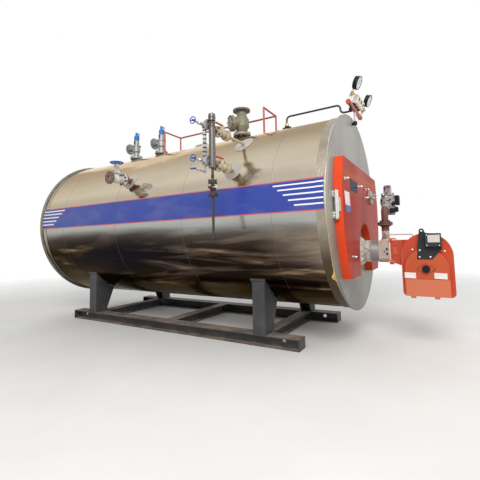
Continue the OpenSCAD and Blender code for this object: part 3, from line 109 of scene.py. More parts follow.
class Finish:
    def __init__(self, name):
        self.name, self.material = name, bpy.data.materials.new(name)
        self.material.use_nodes = True
        self.tree = self.material.node_tree
        self.shader = self.tree.nodes["Principled BSDF"]

    def put(self, socket, value):
        if isinstance(value, Socket):
            self.tree.links.new(value.output, socket)
        elif socket.type == "RGBA" and len(value) == 3:
            socket.default_value = (*value, 1)
        else:
            socket.default_value = value

    def node(self, kind, settings=None, inputs=None, out=0):
        made = self.tree.nodes.new(kind)
        for key, value in (settings or {}).items():
            if key == "stops":
                ramp = made.color_ramp.elements
                while len(ramp) < len(value):
                    ramp.new(0.5)
                for stop, (place, shade) in zip(ramp, value):
                    stop.position = place
                    stop.color = (*shade, 1) if hasattr(shade, "__len__") else (shade, shade, shade, 1)
            else:
                setattr(made, key, value)
        for key, value in (inputs or {}).items():
            self.put(made.inputs[key], value)
        return Socket(self, made.outputs[out])

    def place(self, scale=(1, 1, 1)):
        spot = self.node("ShaderNodeTexCoord", out="Object")
        return self.node("ShaderNodeMapping", {}, {"Vector": spot, "Scale": scale})

    def noise(self, scale, detail=4, stretch=(1, 1, 1), rough=0.5, warp=0.0):
        return self.node("ShaderNodeTexNoise", {}, {"Vector": self.place(stretch), "Scale": scale,
                         "Detail": detail, "Roughness": rough, "Distortion": warp})

    def steps(self, value, *stops):
        return self.node("ShaderNodeValToRGB", {"stops": stops}, {0: value})

    def mix(self, mask, a, b):
        return self.node("ShaderNodeMix", {"data_type": "RGBA"}, {0: mask, 6: a, 7: b}, out=2)

    def axis(self, name):
        spot = self.node("ShaderNodeTexCoord", out="Object")
        return self.node("ShaderNodeSeparateXYZ", {}, {0: spot}, out=name)

    def facing_up(self):
        way = self.node("ShaderNodeNewGeometry", out="Normal")
        return self.node("ShaderNodeSeparateXYZ", {}, {0: way}, out="Z")

    def surface(self, bump=None, depth=0.002, **values):
        for name, value in values.items():
            self.put(self.shader.inputs[name.replace("_", " ").title().replace("Ior", "IOR")], value)
        if bump is not None:
            rough = self.node("ShaderNodeBump", {}, {"Height": bump, "Strength": 1.0, "Distance": depth})
            self.tree.links.new(rough.output, self.shader.inputs["Normal"])
        FINISH[self.name] = self.material
        return self.name


print("shader helpers ready")

# %% [markdown]
# Painted steel
#
# One recipe serves paint and castings. A broad noise shifts the colour a little, a
# finer one breaks up the gloss, and chips let a worn colour through. Dust settles
# where a face looks up, so its mask reads the normal. A zone gives the part of a
# solid beyond a plane another colour: its own paint on most parts, painted light on
# the burner's neck and below the fold of its cover.

# %% painted metal
BELOW, ABOVE = "LESS_THAN", "GREATER_THAN"


def painted(name, colour, rough=0.4, metal=0.0, shift=0.16, dust=0.25, dust_colour=(0.42, 0.38, 0.32),
            grain=60.0, depth=0.0006, coat=0.0, worn=0.0, worn_colour=(0.45, 0.43, 0.4), gloss=0.4, zones=()):
    f = Finish(name)
    broad = f.noise(2.3, 5)
    fine = f.noise(grain, 3)
    dark = tuple(c * (1 - shift) for c in colour)
    light = tuple(min(1, c * (1 + shift)) for c in colour)
    body = f.mix(f.steps(broad, (0.3, 0), (0.7, 1)), dark, light)
    for axis, side, edge, shade in zones:
        inside = f.node("ShaderNodeMath", {"operation": side}, {0: f.axis(axis), 1: edge})
        body = f.mix(inside, body, shade)
        metal = (1 - inside) * metal
    if worn:
        chips = f.steps(f.noise(17, 8, rough=0.7), (0.62 - worn * 0.2, 0), (0.66 - worn * 0.2, 1))
        body = f.mix(chips, body, worn_colour)
    patches = f.steps(f.noise(6, 5), (0.25, 0), (0.75, 1))
    settled = f.steps(f.facing_up(), (0.35, 0), (0.95, 1)) * patches * dust
    haze = f.steps(f.noise(3.1, 6), (0.45, 0), (0.8, 1)) * (dust * 0.3)
    mask = settled + haze
    return f.surface(base_color=f.mix(mask, body, dust_colour), metallic=metal, coat_weight=coat,
                     specular_ior_level=gloss, roughness=rough + (fine - 0.5) * 0.12 + mask * 0.25,
                     bump=fine, depth=depth)


painted("plate_grey", (0.25, 0.245, 0.22), 0.42, 0.25, dust=0.3)
painted("door_orange", (0.72, 0.072, 0.024), 0.25, shift=0.14, dust=0.08, gloss=0.06, depth=0.0003)
painted("bright_steel", (0.62, 0.61, 0.58), 0.3, 1.0, dust=0.1)
painted("lagging_cream", (0.55, 0.51, 0.46), 0.85, dust=0.3, grain=35, depth=0.004)
painted("throat_grey", (0.3, 0.29, 0.3), 0.5, 0.6, dust=0.25)
painted("head_beige", (0.46, 0.37, 0.32), 0.6, dust=0.3, grain=45, depth=0.002, worn=0.25,
        worn_colour=(0.25, 0.2, 0.18), zones=[("Z", BELOW, 0.913, (0.25, 0.2, 0.155))])
painted("pipe_brown", (0.12, 0.042, 0.028), 0.55, dust=0.4)
painted("cast_aluminium", (0.34, 0.31, 0.32), 0.55, 0.2, shift=0.3, worn=0.6,
        worn_colour=(0.05, 0.05, 0.06), grain=90, depth=0.001)
# zone: the neck, short of x 2.822, is painted lighter; painted light where the neck sits in shade
painted("burner_orange", (0.5, 0.066, 0.027), 0.4, shift=0.14, dust=0.12, gloss=0.15,
        zones=[("X", BELOW, 2.822, (0.57, 0.098, 0.058))])
# zone: below the fold the cover is painted lighter and more tan; painted light on the face below the fold
painted("cover_orange", (0.51, 0.09, 0.034), 0.42, shift=0.1, dust=0.12, gloss=0.15,
        zones=[("Z", BELOW, 0.717, (0.58, 0.165, 0.088))])
painted("black_plastic", (0.01, 0.011, 0.014), 0.4, dust=0.05, gloss=0.15)
painted("bracket_slate", (0.02, 0.021, 0.023), 0.45, dust=0.1, gloss=0.2)
painted("servo_slate", (0.028, 0.038, 0.052), 0.5, dust=0.1, gloss=0.2)
painted("motor_grey", (0.06, 0.065, 0.075), 0.45, dust=0.2)
painted("skid_grey", (0.044, 0.045, 0.047), 0.55, dust=1.4, dust_colour=(0.26, 0.2, 0.16), worn=0.05,
        worn_colour=(0.16, 0.14, 0.12))
painted("saddle_grey", (0.035, 0.038, 0.042), 0.55, dust=0.5)
painted("valve_olive", (0.2, 0.195, 0.135), 0.5, 0.2, dust=0.35, grain=80, depth=0.002,
        zones=[("Z", BELOW, 2.6635, (0.1, 0.062, 0.042)), ("Z", ABOVE, 3.014, (0.13, 0.1, 0.075))])
painted("nozzle_grey", (0.2, 0.2, 0.19), 0.5, 0.4, dust=0.3)
painted("safety_silver", (0.3, 0.31, 0.31), 0.45, 0.6, dust=0.3, grain=90, depth=0.001,
        zones=[("Z", ABOVE, 2.958, (0.008, 0.16, 0.5))])
painted("rail_red", (0.42, 0.05, 0.03), 0.4, dust=0.2, coat=0.2)
painted("valve_cream", (0.46, 0.39, 0.26), 0.5, dust=0.3, grain=80, depth=0.002, worn=0.25,
        worn_colour=(0.12, 0.07, 0.04),
        zones=[("X", BELOW, 0.5, (0.6, 0.59, 0.55)), ("Y", BELOW, -1.297, (0.15, 0.085, 0.06))])
painted("wheel_blue", (0.012, 0.08, 0.36), 0.35, dust=0.15, coat=0.2)
painted("column_steel", (0.13, 0.12, 0.115), 0.34, 0.9, dust=0.2,
        zones=[("Z", BELOW, 1.872, (0.04, 0.028, 0.024))])
painted("switch_cream", (0.74, 0.71, 0.62), 0.45, dust=0.1)
painted("pipe_black", (0.018, 0.018, 0.018), 0.4, dust=0.15)
painted("rosette_pale", (0.5, 0.46, 0.42), 0.42, 0.5, dust=0.15, shift=0.12)
painted("hatch_khaki", (0.42, 0.4, 0.31), 0.5, dust=0.3, worn=0.15)
painted("gauge_grey", (0.36, 0.36, 0.37), 0.4, 0.4, dust=0.2, zones=[("Y", BELOW, -1.545, (0.012, 0.07, 0.34))])
print("painted finishes:", len(FINISH))

# %% [markdown]
# Mirror sheet
#
# Polished stainless sheet is never quite flat: long soft dents bend what it
# mirrors. Its colour carries painted reflections: cream high up with a bright band
# of painted highlight, darker again at the top, and brown below, where long waves
# turn dark with painted shade or bronze with painted glints, painted reflections of
# the shade under the shell. Thin lap seams run round it. The band at its front end
# is of mottled sheet, the one at the back of plain sheet; both are painted dark
# below, the same painted reflection.

# %% mirror cladding
UNDERSIDE, DIAMETER = 0.36, 2.2
LAP = 0.585  # half the distance between two lap seams


def up_the_shell(f):
    return (f.axis("Z") - UNDERSIDE) / DIAMETER


def mirror_sheet(name):
    f = Finish(name)
    level, along = up_the_shell(f), f.axis("X")
    uneven = level + (f.noise(0.9, 3, (0.35, 1, 1)) - 0.5) * 0.12
    # painted reflection: brown low down for the shade under the shell, a painted highlight band near 0.69 of the
    # height, darker again at the top
    tone = f.steps(uneven, (0.0, (0.06, 0.042, 0.03)), (0.24, (0.085, 0.054, 0.034)),
                   (0.345, (0.125, 0.095, 0.072)), (0.395, (0.17, 0.15, 0.13)), (0.44, (0.42, 0.42, 0.4)),
                   (0.52, (0.46, 0.44, 0.4)), (0.64, (0.51, 0.44, 0.34)), (0.69, (0.64, 0.565, 0.435)),
                   (0.75, (0.6, 0.52, 0.4)), (0.86, (0.48, 0.39, 0.29)), (1.0, (0.38, 0.3, 0.2)))
    streak = f.noise(1.5, 4, (0.25, 1.0, 1.6), warp=0.6)
    tone = f.mix(f.steps(streak, (0.52, 0), (0.7, 1)) * 0.35, tone, (0.3, 0.27, 0.24))

    # painted reflection low down: dark patches of painted shade and bronze painted glints
    lower = f.steps(level, (0.3, 1), (0.46, 0))
    wave = f.noise(1.7, 4, (0.2, 1.0, 2.2), warp=2.0)
    tone = f.mix(f.steps(wave, (0.45, 0), (0.52, 1)) * lower * 0.95, tone, (0.014, 0.009, 0.007))
    tone = f.mix(f.steps(wave, (0.35, 1), (0.42, 0)) * lower * 0.9, tone, (0.42, 0.29, 0.18))

    # painted reflection: a paler band low down towards the front
    to_front = f.steps(along / 4 + (wave - 0.5) * 0.2, (0.4, 0), (0.54, 1))
    stripe = f.steps(level, (0.22, 0), (0.3, 1), (0.38, 1), (0.42, 0))
    tone = f.mix(to_front * stripe * f.steps(wave, (0.4, 1), (0.55, 0.45)), tone, (0.4, 0.32, 0.25))

    # painted reflection: dark clouds of painted shade low down towards the back
    to_rear = f.steps(along / 4 + 0.5, (0.42, 1), (0.72, 0)) * lower
    cloud = f.steps(f.noise(1.6, 4, (0.3, 1, 1.6), warp=0.8), (0.53, 0.95), (0.6, 0))
    tone = f.mix(to_rear * cloud, tone, (0.01, 0.011, 0.02))

    from_lap = f.node("ShaderNodeMath", {"operation": "PINGPONG"}, {0: along + LAP, 1: LAP})
    seam = f.steps(from_lap, (0.0, 1), (0.006, 0))
    tone = f.mix(seam * 0.5, tone, (0.16, 0.14, 0.12))
    dents = f.noise(1.1, 2, (0.6, 1, 1), warp=0.4) + f.noise(5.5, 2, (0.5, 1, 1)) * 0.1
    smear = f.steps(f.noise(7, 6, (1, 1, 0.4), rough=0.65), (0.4, 0), (0.75, 1))
    return f.surface(base_color=tone, metallic=1.0, roughness=0.13 + smear * 0.12 + seam * 0.3,
                     specular_tint=(0.7, 0.62, 0.5), bump=dents + seam * 0.02, depth=0.05)


def mottled_sheet(name):
    f = Finish(name)
    spangle = f.node("ShaderNodeTexVoronoi", {}, {"Vector": f.place((1, 0.6, 0.6)), "Scale": 46.0}, out="Distance")
    cloud = f.noise(9, 6, rough=0.7)
    tone = f.mix(f.steps(cloud, (0.35, 0), (0.7, 1)), (0.33, 0.29, 0.23), (0.42, 0.37, 0.3))
    # painted reflection: the bands are dark below, the shade under the shell
    upper = f.steps(up_the_shell(f), (0.26, 0.0), (0.42, 1.0))
    tone = f.mix(upper, (0.1, 0.075, 0.05), tone)
    front = f.steps(f.axis("X") / 2, (0.0, 0), (0.5, 1))
    tone = f.mix(front, f.mix(upper, (0.07, 0.05, 0.032), (0.38, 0.33, 0.26)), tone)
    return f.surface(base_color=tone, metallic=1.0, roughness=0.16 + (spangle * 0.15 + cloud * 0.1 + 0.1) * front,
                     bump=(spangle * 0.5 + cloud * 0.6) * front, depth=0.002)


mirror_sheet("mirror_steel")
mottled_sheet("band_steel")

# %% [markdown]
# The door's paint
#
# The face of the box door is painted darker than its sides: painted shade on the
# face. A step in depth parts the two, and a soft line of painted highlight crosses
# the face near its top. With this last finish made, every solid gets its own.

# %% door paint
DOOR_FACE = 0.4215  # where the face begins, past 2 m along the boiler


def door_paint(name):
    f = Finish(name)
    fine = f.noise(60, 3)
    side = f.mix(f.noise(2.3, 5), (0.66, 0.062, 0.02), (0.78, 0.082, 0.028))
    # painted shade: the face is darker than the sides
    face = f.steps(f.noise(1.2, 3, (1, 1.0, 0.8)), (0.36, (0.31, 0.028, 0.014)), (0.52, (0.37, 0.042, 0.026)),
                   (0.66, (0.42, 0.08, 0.062)))
    # painted highlight: a soft line across the face near its top
    face_highlight = f.steps(f.axis("Z") - f.axis("Y") * 0.04 - 1.25, (0.5, 0), (0.56, 0.6), (0.62, 0))
    face = f.mix(face_highlight, face, (0.45, 0.105, 0.015))
    tone = f.mix(f.steps(f.axis("X") - 2, (DOOR_FACE, 0), (DOOR_FACE + 0.0002, 1)), side, face)
    return f.surface(base_color=tone, specular_ior_level=0.03, roughness=0.3 + fine * 0.1, bump=fine, depth=0.0003)


door_paint("door_paint")
OWN_FINISH = {"nozzle_rosettes": "rosette_pale", "inspection_hatch": "hatch_khaki",
              "gauge_glass": "gauge_grey", "smokebox_door": "door_paint"}
for part in frame["record"]["subparts"]:
    finish = OWN_FINISH.get(part["node"], part["material_slot"])
    solid = NODES[part["node"]]
    solid.data.materials.clear()
    solid.data.materials.append(FINISH[finish])
print("finishes on", len(NODES), "solids")

# %% [markdown]
# A bench for small parts
#
# Nuts, studs and plates are rings of points joined by faces, so one small class
# gathers rings and hands them over as a piece, its sharp edges marked by angle. A
# turned profile, a swept tube and a bevelled slab cover nearly everything. The
# burner is at the front, and the near side shows. Places are in metres; sizes of
# turned parts, tubes and nuts are in millimetres.

# %% bench
import bmesh

FRONT, BACK, NEAR, FAR, UP, DOWN = (1, 0, 0), (-1, 0, 0), (0, -1, 0), (0, 1, 0), (0, 0, 1), (0, 0, -1)
CORNERS = ((1, 1), (1, -1), (-1, 1), (-1, -1))
MM = 0.001


def crosswise(along):
    seed = Vector(UP) if abs(along.z) < 0.9 else Vector(FRONT)
    side = (seed - along * seed.dot(along)).normalized()
    return side, along.cross(side)


def circle_of(at, along, radius, count, start=0.5):
    along = Vector(along).normalized()
    side, other = crosswise(along)
    turns = [tau * (k + start) / count for k in range(count)]
    return [Vector(at) + (side * cos(a) + other * sin(a)) * radius for a in turns]


def facing_near(x0, x1, y, z0, z1):
    return [(x0, y, z0), (x1, y, z0), (x1, y, z1), (x0, y, z1)]


def facing_front(x, y0, y1, z0, z1):
    return [(x, y0, z0), (x, y1, z0), (x, y1, z1), (x, y0, z1)]


class Bench:
    def __init__(self, seat=None):
        self.work, self.seat = bmesh.new(), seat

    def ring(self, points):
        return [self.work.verts.new(p) for p in points]

    def skin(self, rings, loop=False):
        pairs = list(zip(rings, rings[1:])) + ([(rings[-1], rings[0])] if loop else [])
        for a, b in pairs:
            for i in range(len(a)):
                j = (i + 1) % len(a)
                self.work.faces.new((a[i], a[j], b[j], b[i]))
        if not loop:
            self.work.faces.new(rings[0][::-1])
            self.work.faces.new(rings[-1])

    def turned(self, at, along, profile, sides=24, loop=False):
        at, along = Vector(at), Vector(along).normalized()
        self.skin([self.ring(circle_of(at + along * reach * MM, along, radius * MM, sides))
                   for reach, radius in profile], loop=loop)

    def washer(self, at, along, inner, outer, thick, sides=64):
        self.turned(at, along, [(0, inner), (0, outer), (thick, outer), (thick, inner)], sides, loop=True)

    def tube(self, path, radius, sides=10, loop=False):
        path = [Vector(p) for p in path]
        rings, side = [], None
        for k, spot in enumerate(path):
            after = path[(k + 1) % len(path)] if loop or k + 1 < len(path) else spot
            before = path[k - 1] if loop or k else spot
            ahead = (after - before).normalized()
            side = crosswise(ahead)[0] if side is None else (side - ahead * side.dot(ahead)).normalized()
            other = ahead.cross(side)
            wide = (radius(k) if callable(radius) else radius) * MM
            rings.append(self.ring([spot + (side * cos(a) + other * sin(a)) * wide
                                    for a in (tau * n / sides for n in range(sides))]))
        self.skin(rings, loop=loop)

    def slab(self, corners, thick, edge=0.0):
        corners, thick = [Vector(c) for c in corners], Vector(thick)
        middle = sum(corners, Vector()) / len(corners)
        share = 1 - min(0.9, edge / thick.length)
        inner = [c + (middle - c).normalized() * edge * 1.4 for c in corners]
        self.skin([self.ring(inner), self.ring([c + thick * (1 - share) for c in corners]),
                   self.ring([c + thick * share for c in corners]), self.ring([c + thick for c in inner])])

    def nut(self, at, along, size, stud=0):
        at, along = Vector(at), Vector(along).normalized()
        self.capped(at, along, size * 1.05, size * 0.14, size * 0.18, size, 18)
        self.turned(at, along, [(size * 0.1, size * 0.8), (size * 0.2, size * 0.9), (size * 0.88, size * 0.9),
                                (size, size * 0.78)], 6)
        if stud:
            self.capped(at, along, size * 0.5, stud - size * 0.12, stud, size * 0.38, 12)

    def nut_ring(self, at, along, pitch, count, size, stud=0):
        for spot in circle_of(at, along, pitch * MM, count):
            self.nut(spot, along, size, stud)

    def capped(self, at, along, radius, height, top, tip, sides=6):
        self.turned(at, along, [(0, radius), (height, radius), (top, tip)], sides)

    def dome_screw(self, at, along, radius):
        self.turned(at, along, [(0, radius * 1.25), (radius * 0.2, radius * 1.25), (radius * 0.25, radius),
                                (radius * 0.55, radius * 0.9), (radius * 0.75, radius * 0.55)], 16)

    def piece(self, name, finish, crease=0.6):
        if self.seat:
            bmesh.ops.transform(self.work, matrix=self.seat, verts=self.work.verts)
        bmesh.ops.recalc_face_normals(self.work, faces=self.work.faces)
        for edge in self.work.edges:
            edge.smooth = len(edge.link_faces) == 2 and edge.calc_face_angle(0) < crease
        for face in self.work.faces:
            face.smooth = True
        mesh = bpy.data.meshes.new(name)
        self.work.to_mesh(mesh)
        self.work.free()
        mesh.materials.append(FINISH[finish])
        made = bpy.data.objects.new(name, mesh)
        bpy.context.scene.collection.objects.link(made)
        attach(made, "root")
        print("piece:", name, len(mesh.polygons), "faces")


print("bench ready")

# %% [markdown]
# Places
#
# A few planes and axes read from the solids' boxes place everything that follows,
# so a nut sits on its flange and not near it.

# %% places
def low(node):
    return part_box(node)[0]


def high(node):
    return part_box(node)[1]


def centre(node, way):
    return (low(node)[way] + high(node)[way]) / 2


AXIS, BURN = 1.46, 0.995  # heights of the shell's axis and of the burner's
SHELL = (high("shell_cladding")[2] - low("shell_cladding")[2]) / 2
PLATE = high("front_plate")[0]
DOOR = high("smokebox_door")[0]
BRIGHT, BLACK = "bright_steel", "black_plastic"


def on_shell(x, turn, lift=0.0):
    return Vector((x, -(SHELL + lift) * cos(turn), AXIS + (SHELL + lift) * sin(turn)))


print("shell radius", round(SHELL, 4), "plate", round(PLATE, 4), "door", round(DOOR, 4))

# %% [markdown]
# The printed belt
#
# A vinyl belt runs along the near side, blue between thin red edges, with five
# white stripes at each end that start in a slant. Each part is a thin curved strip
# that follows the shell and steps up over the end bands.

# %% belt
EDGE_BAND = high("end_bands")[0] - 0.105
BAND_RISE = 0.0054
BELT_END = 2.29
BELT_LOW, BELT_HIGH = -0.046, 0.232
STRIPES = ((0.196, 1.771, -1.751), (0.152, 1.824, -1.804), (0.105, 1.885, -1.876), (0.055, 1.939, -1.938),
           (0.008, 1.999, -1.998))  # turn, start at the front, end at the back


def strip(bench, x_from, x_to, turn_low, turn_high, lift, thick=0.0005, steps=24):
    stations = [x_from + (x_to - x_from) * k / 30 for k in range(31)]
    for edge in (-EDGE_BAND, EDGE_BAND):
        if x_from < edge < x_to:
            stations += [edge - 0.0005, edge + 0.0005]
    rings = []
    for x in sorted(stations):
        rise = lift + (BAND_RISE if abs(x) > EDGE_BAND else 0)
        turns = [turn_low + (turn_high - turn_low) * k / steps for k in range(steps + 1)]
        outer = [on_shell(x, t, rise + thick) for t in turns]
        inner = [on_shell(x, t, rise) for t in reversed(turns)]
        rings.append(bench.ring(outer + inner))
    bench.skin(rings)


def film(name, colour, rough=0.28):
    f = Finish(name)
    body = f.mix(f.steps(f.noise(1.4, 5), (0.3, 0), (0.75, 1)), tuple(c * 0.86 for c in colour), colour)
    dust = f.steps(f.noise(7, 6, (0.4, 1, 1)), (0.5, 0), (0.85, 0.14))
    return f.surface(base_color=f.mix(dust, body, (0.5, 0.47, 0.42)), roughness=rough + dust * 0.8,
                     bump=f.noise(3.5, 2, (0.5, 1, 1)), depth=0.006)


belt = Bench()
strip(belt, -BELT_END, BELT_END, BELT_LOW, BELT_HIGH, 0.0012)
belt.piece("belt", film("belt_blue", (0.02, 0.046, 0.31)))

edges = Bench()
for turn in (BELT_LOW - 0.006, BELT_HIGH - 0.005):
    strip(edges, -BELT_END, BELT_END, turn, turn + 0.011, 0.0018, steps=3)
edges.piece("belt_edges", film("belt_red", (0.55, 0.1, 0.11)))

stripes = Bench()
for turn, start, end in STRIPES:
    strip(stripes, start, BELT_END, turn - 0.0066, turn + 0.0066, 0.0024, steps=3)
    strip(stripes, -BELT_END, end, turn - 0.0085, turn + 0.0085, 0.0024, steps=3)
stripes.piece("belt_stripes", film("belt_white", (0.84, 0.85, 0.88)))

# %% [markdown]
# The torn rim film
#
# A film still clings to the rims of the cladding, pale above and gold towards the
# bottom. Where it is torn, on the near lower side, a flap stands off: the strip
# grows wider there.

# %% rim film
TEAR_AT, TEAR_LENGTH = tau - 0.66, 0.035


def rim_finish():
    f = Finish("rim_film")
    level = f.steps(up_the_shell(f) + (f.noise(4, 4) - 0.5) * 0.2, (0.25, 0), (0.62, 1))
    tone = f.mix(level, (0.74, 0.5, 0.15), (0.66, 0.63, 0.56))
    crumple = f.noise(26, 5, rough=0.6)
    return f.surface(base_color=f.mix(f.steps(crumple, (0.4, 0), (0.6, 0.5)), tone, (0.34, 0.24, 0.09)),
                     metallic=0.3, roughness=0.25 + crumple * 0.25, bump=crumple, depth=0.004)


rim = Bench()
foot = PLATE - 0.0225
count = 260
for side in (1, -1):
    rings = []
    for turn in (tau * k / count for k in range(count)):
        wave = 0.0012 * sin(turn * 23 + side) + 0.001 * sin(turn * 41)
        wide = (0.015 if side > 0 else 0.007) + 0.004 * sin(turn * 9 + 1) + 0.001 * sin(turn * 31)
        tear = exp(-((turn - TEAR_AT) / TEAR_LENGTH) ** 2) if side > 0 else 0
        wide, rise, flap = wide + 0.03 * tear, 0.007 + wave + 0.016 * tear, 0.006 * tear
        profile = ((0, 0.0065), (0, 0.0075), (wide * 0.6, rise + 0.0008), (wide, rise + 0.0013 + flap),
                   (wide, rise + flap), (wide * 0.6, rise))
        rings.append(rim.ring([on_shell(side * (foot - inward), turn, lift) for inward, lift in profile]))
    rim.skin(rings, loop=True)
rim.piece("rim_film", rim_finish())

# %% [markdown]
# Nuts of the door
#
# The box door is held by studs with bare nuts. The clamp bar of the round cover has
# two more, and the hinge leaves are screwed to the end plate.

# %% door nuts
STUDS = ((-0.85, 1.718), (-0.235, 1.714), (0.165, 1.733), (0.745, 1.725), (-0.66, 0.957), (0.66, 0.957),
         (0.09, 1.622))
HATCH_Y, HATCH_Z = 0.405, AXIS + 0.195
HINGE_Y = 1.006

door_nuts = Bench()
for y, z in STUDS:
    door_nuts.turned((DOOR, y, z), FRONT, [(-2, 18), (2, 18), (3.5, 16)], 24)
    door_nuts.capped((DOOR, y, z), FRONT, 8, 43, 46, 6, 16)
    door_nuts.nut((DOOR + 0.015, y, z), FRONT, 15)
door_nuts.piece("door_nuts", BRIGHT)

hatch_nuts = Bench()
for y in (HATCH_Y - 0.143, HATCH_Y + 0.143):
    hatch_nuts.nut((high("inspection_hatch")[0] - 0.022, y, HATCH_Z), FRONT, 18)
hatch_nuts.piece("hatch_nuts", BRIGHT)

hinge_screws = Bench()
for side in (-1, 1):
    for z in (-0.112, -0.086, 0.086, 0.112):
        hinge_screws.nut((PLATE + 0.01, side * HINGE_Y, AXIS + z), FRONT, 11)
hinge_screws.piece("hinge_screws", BRIGHT)

# %% [markdown]
# Gussets of the saddles
#
# A thin plate widens each leg towards the middle of the boiler, at the front and
# at the back of the leg, and its upper edge follows the shell.

# %% saddle gussets
LEG_HALF = 0.0775
GUSSET = ((0.6415, 0.151), (0.612, 0.151), (0.482, 0.466), (0.56, 0.509), (0.6415, 0.562))  # y and z

gussets = Bench()
for x in (centre("saddle_front", 0), centre("saddle_rear", 0)):
    for side, way in CORNERS:
        gussets.slab([(x + way * LEG_HALF, side * y, z) for y, z in GUSSET], (way * -0.012, 0, 0), 0.001)
gussets.piece("saddle_gussets", "saddle_grey")

# %% [markdown]
# Plates on the door
#
# Two bare enamel plates are on the door's face, with a rivet near each corner.

# %% door plates
def plate_on_door(name, corners, finish):
    plate = Bench()
    plate.slab([(DOOR + 0.0002, y, z) for y, z in corners], (0.0022, 0, 0), 0.0006)
    middle = sum((Vector((DOOR, y, z)) for y, z in corners), Vector()) / 4
    for y, z in corners:
        spot = Vector((DOOR, y, z)).lerp(middle, 0.09)
        plate.turned(spot, FRONT, [(1, 4), (3.2, 3.8), (4.2, 1.8)], 12)
    plate.piece(name, finish)


def enamel(name, colour, second=None, split=0.0):
    f = Finish(name)
    body = f.mix(f.steps(f.noise(5, 4), (0.3, 0), (0.7, 1)), tuple(c * 0.88 for c in colour), colour)
    if second:
        body = f.mix(f.steps(f.axis("Z") - (split - 0.5), (0.498, 1), (0.502, 0)), body, second)
    wear = f.steps(f.noise(40, 6, rough=0.7), (0.66, 0), (0.7, 0.5))
    return f.surface(base_color=f.mix(wear, body, (0.35, 0.33, 0.3)), roughness=0.32 + wear * 0.3,
                     specular_ior_level=0.03, bump=f.noise(160, 2), depth=0.0002)


plate_on_door("plate_navy", [(-0.612, 1.633), (-0.3, 1.633), (-0.306, 1.748), (-0.618, 1.748)],
              enamel("enamel_navy", (0.008, 0.011, 0.05)))
plate_on_door("plate_pale", [(-0.836, 1.398), (-0.65, 1.399), (-0.687, 1.6), (-0.875, 1.598)],
              enamel("enamel_pale", (0.84, 0.72, 0.71), second=(0.14, 0.17, 0.36), split=1.465))

# %% [markdown]
# Head of the burner
#
# Four nuts hold the burner on its carrying plate, and a square flange with a pale
# gasket joins the fan housing to the head block. A round sight glass looks into
# the gas neck, and a thin rod runs back over the flange.

# %% burner head
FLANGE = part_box("burner_flange")
MOUNT_X = low("burner_mount_plate")[0] + 0.024
GAS_X = centre("gas_inlet", 0)
LUG = (FLANGE[1][1] - FLANGE[0][1]) / 2 - 0.024
SIGHT = (GAS_X, -0.058, BURN + 0.176)
ROD_Y, ROD_Z = -0.014, 1.176

mount_nuts = Bench()
for y, z in CORNERS:
    mount_nuts.nut((MOUNT_X, y * 0.123, BURN + z * 0.123), FRONT, 13, 26)
mount_nuts.piece("mount_nuts", BRIGHT)

gasket = Bench()
rings = []
back, front = FLANGE[0][0] - 0.001, FLANGE[0][0] + 0.012
for x, half in ((back, 0.1195), (back, 0.1312), (front, 0.1312), (front, 0.1195)):
    rings.append(gasket.ring(facing_front(x, -half, half, BURN - half, BURN + half)))
gasket.skin(rings, loop=True)
gasket.piece("head_gasket", painted("pale_gasket", (0.66, 0.6, 0.53), 0.8, grain=120, depth=0.001, dust=0.2))

lug_bolts = Bench()
for y, z in CORNERS:
    lug_bolts.nut((FLANGE[0][0], y * LUG, BURN + z * LUG), BACK, 15)
    lug_bolts.nut((FLANGE[1][0] + 0.0203, y * LUG, BURN + z * LUG), FRONT, 15, 26)
lug_bolts.piece("lug_bolts", BRIGHT)


def lens_finish():
    f = Finish("sight_lens")
    return f.surface(base_color=f.mix(f.noise(30, 3), (0.06, 0.09, 0.07), (0.16, 0.22, 0.17)), roughness=0.08,
                     coat_weight=1.0)


sight = Bench()
sight.turned(SIGHT, FAR, [(0.5, 19), (-3, 19), (-5, 14)], 32)
sight.piece("sight_lens", lens_finish())
bezel = Bench()
bezel.turned(SIGHT, NEAR, [(0, 24), (4, 24), (6, 22), (6, 19.5), (1, 18.5),
             (0, 18.5)], 32, loop=True)
bezel.piece("sight_bezel", BRIGHT)

rod = Bench()
rod.tube([(GAS_X + 0.03, -0.01, ROD_Z), (GAS_X + 0.06, ROD_Y, ROD_Z + 0.0005), (GAS_X + 0.16, ROD_Y, ROD_Z),
          (2.9, ROD_Y, 1.175), (2.916, ROD_Y, 1.17), (2.922, ROD_Y, 1.12)], 8, 12)
rod.capped((GAS_X + 0.036, -0.012, ROD_Z), FRONT, 11, 20, 22, 9)
rod.capped((GAS_X + 0.15, ROD_Y, ROD_Z), FRONT, 9, 18, 20, 7)
rod.piece("pilot_rod", painted("rod_pale", (0.62, 0.62, 0.62), 0.5, dust=0.1))

# %% [markdown]
# Wool and wire round the collar
#
# Pale lagging is stuffed round the burner's collar and tied down with black wire.

# %% collar
def round_burner(x, radius, turn):
    return x, -radius * cos(turn), BURN + radius * sin(turn)


ties = Bench()
for start, stop in ((0.36, 0.07), (-0.4, 0.07), (2.1, 1.9), (-2.2, -2.0)):
    ties.tube([round_burner(2.425 + 0.053 * k / 12, 0.1232, start + (stop - start) * k / 12) for k in range(13)],
              2.2, 6)
for x in (2.432, 2.484):
    ties.tube([round_burner(x, 0.1228, tau * k / 72) for k in range(72)], 1.4, 6, loop=True)
ties.piece("collar_ties", BLACK)

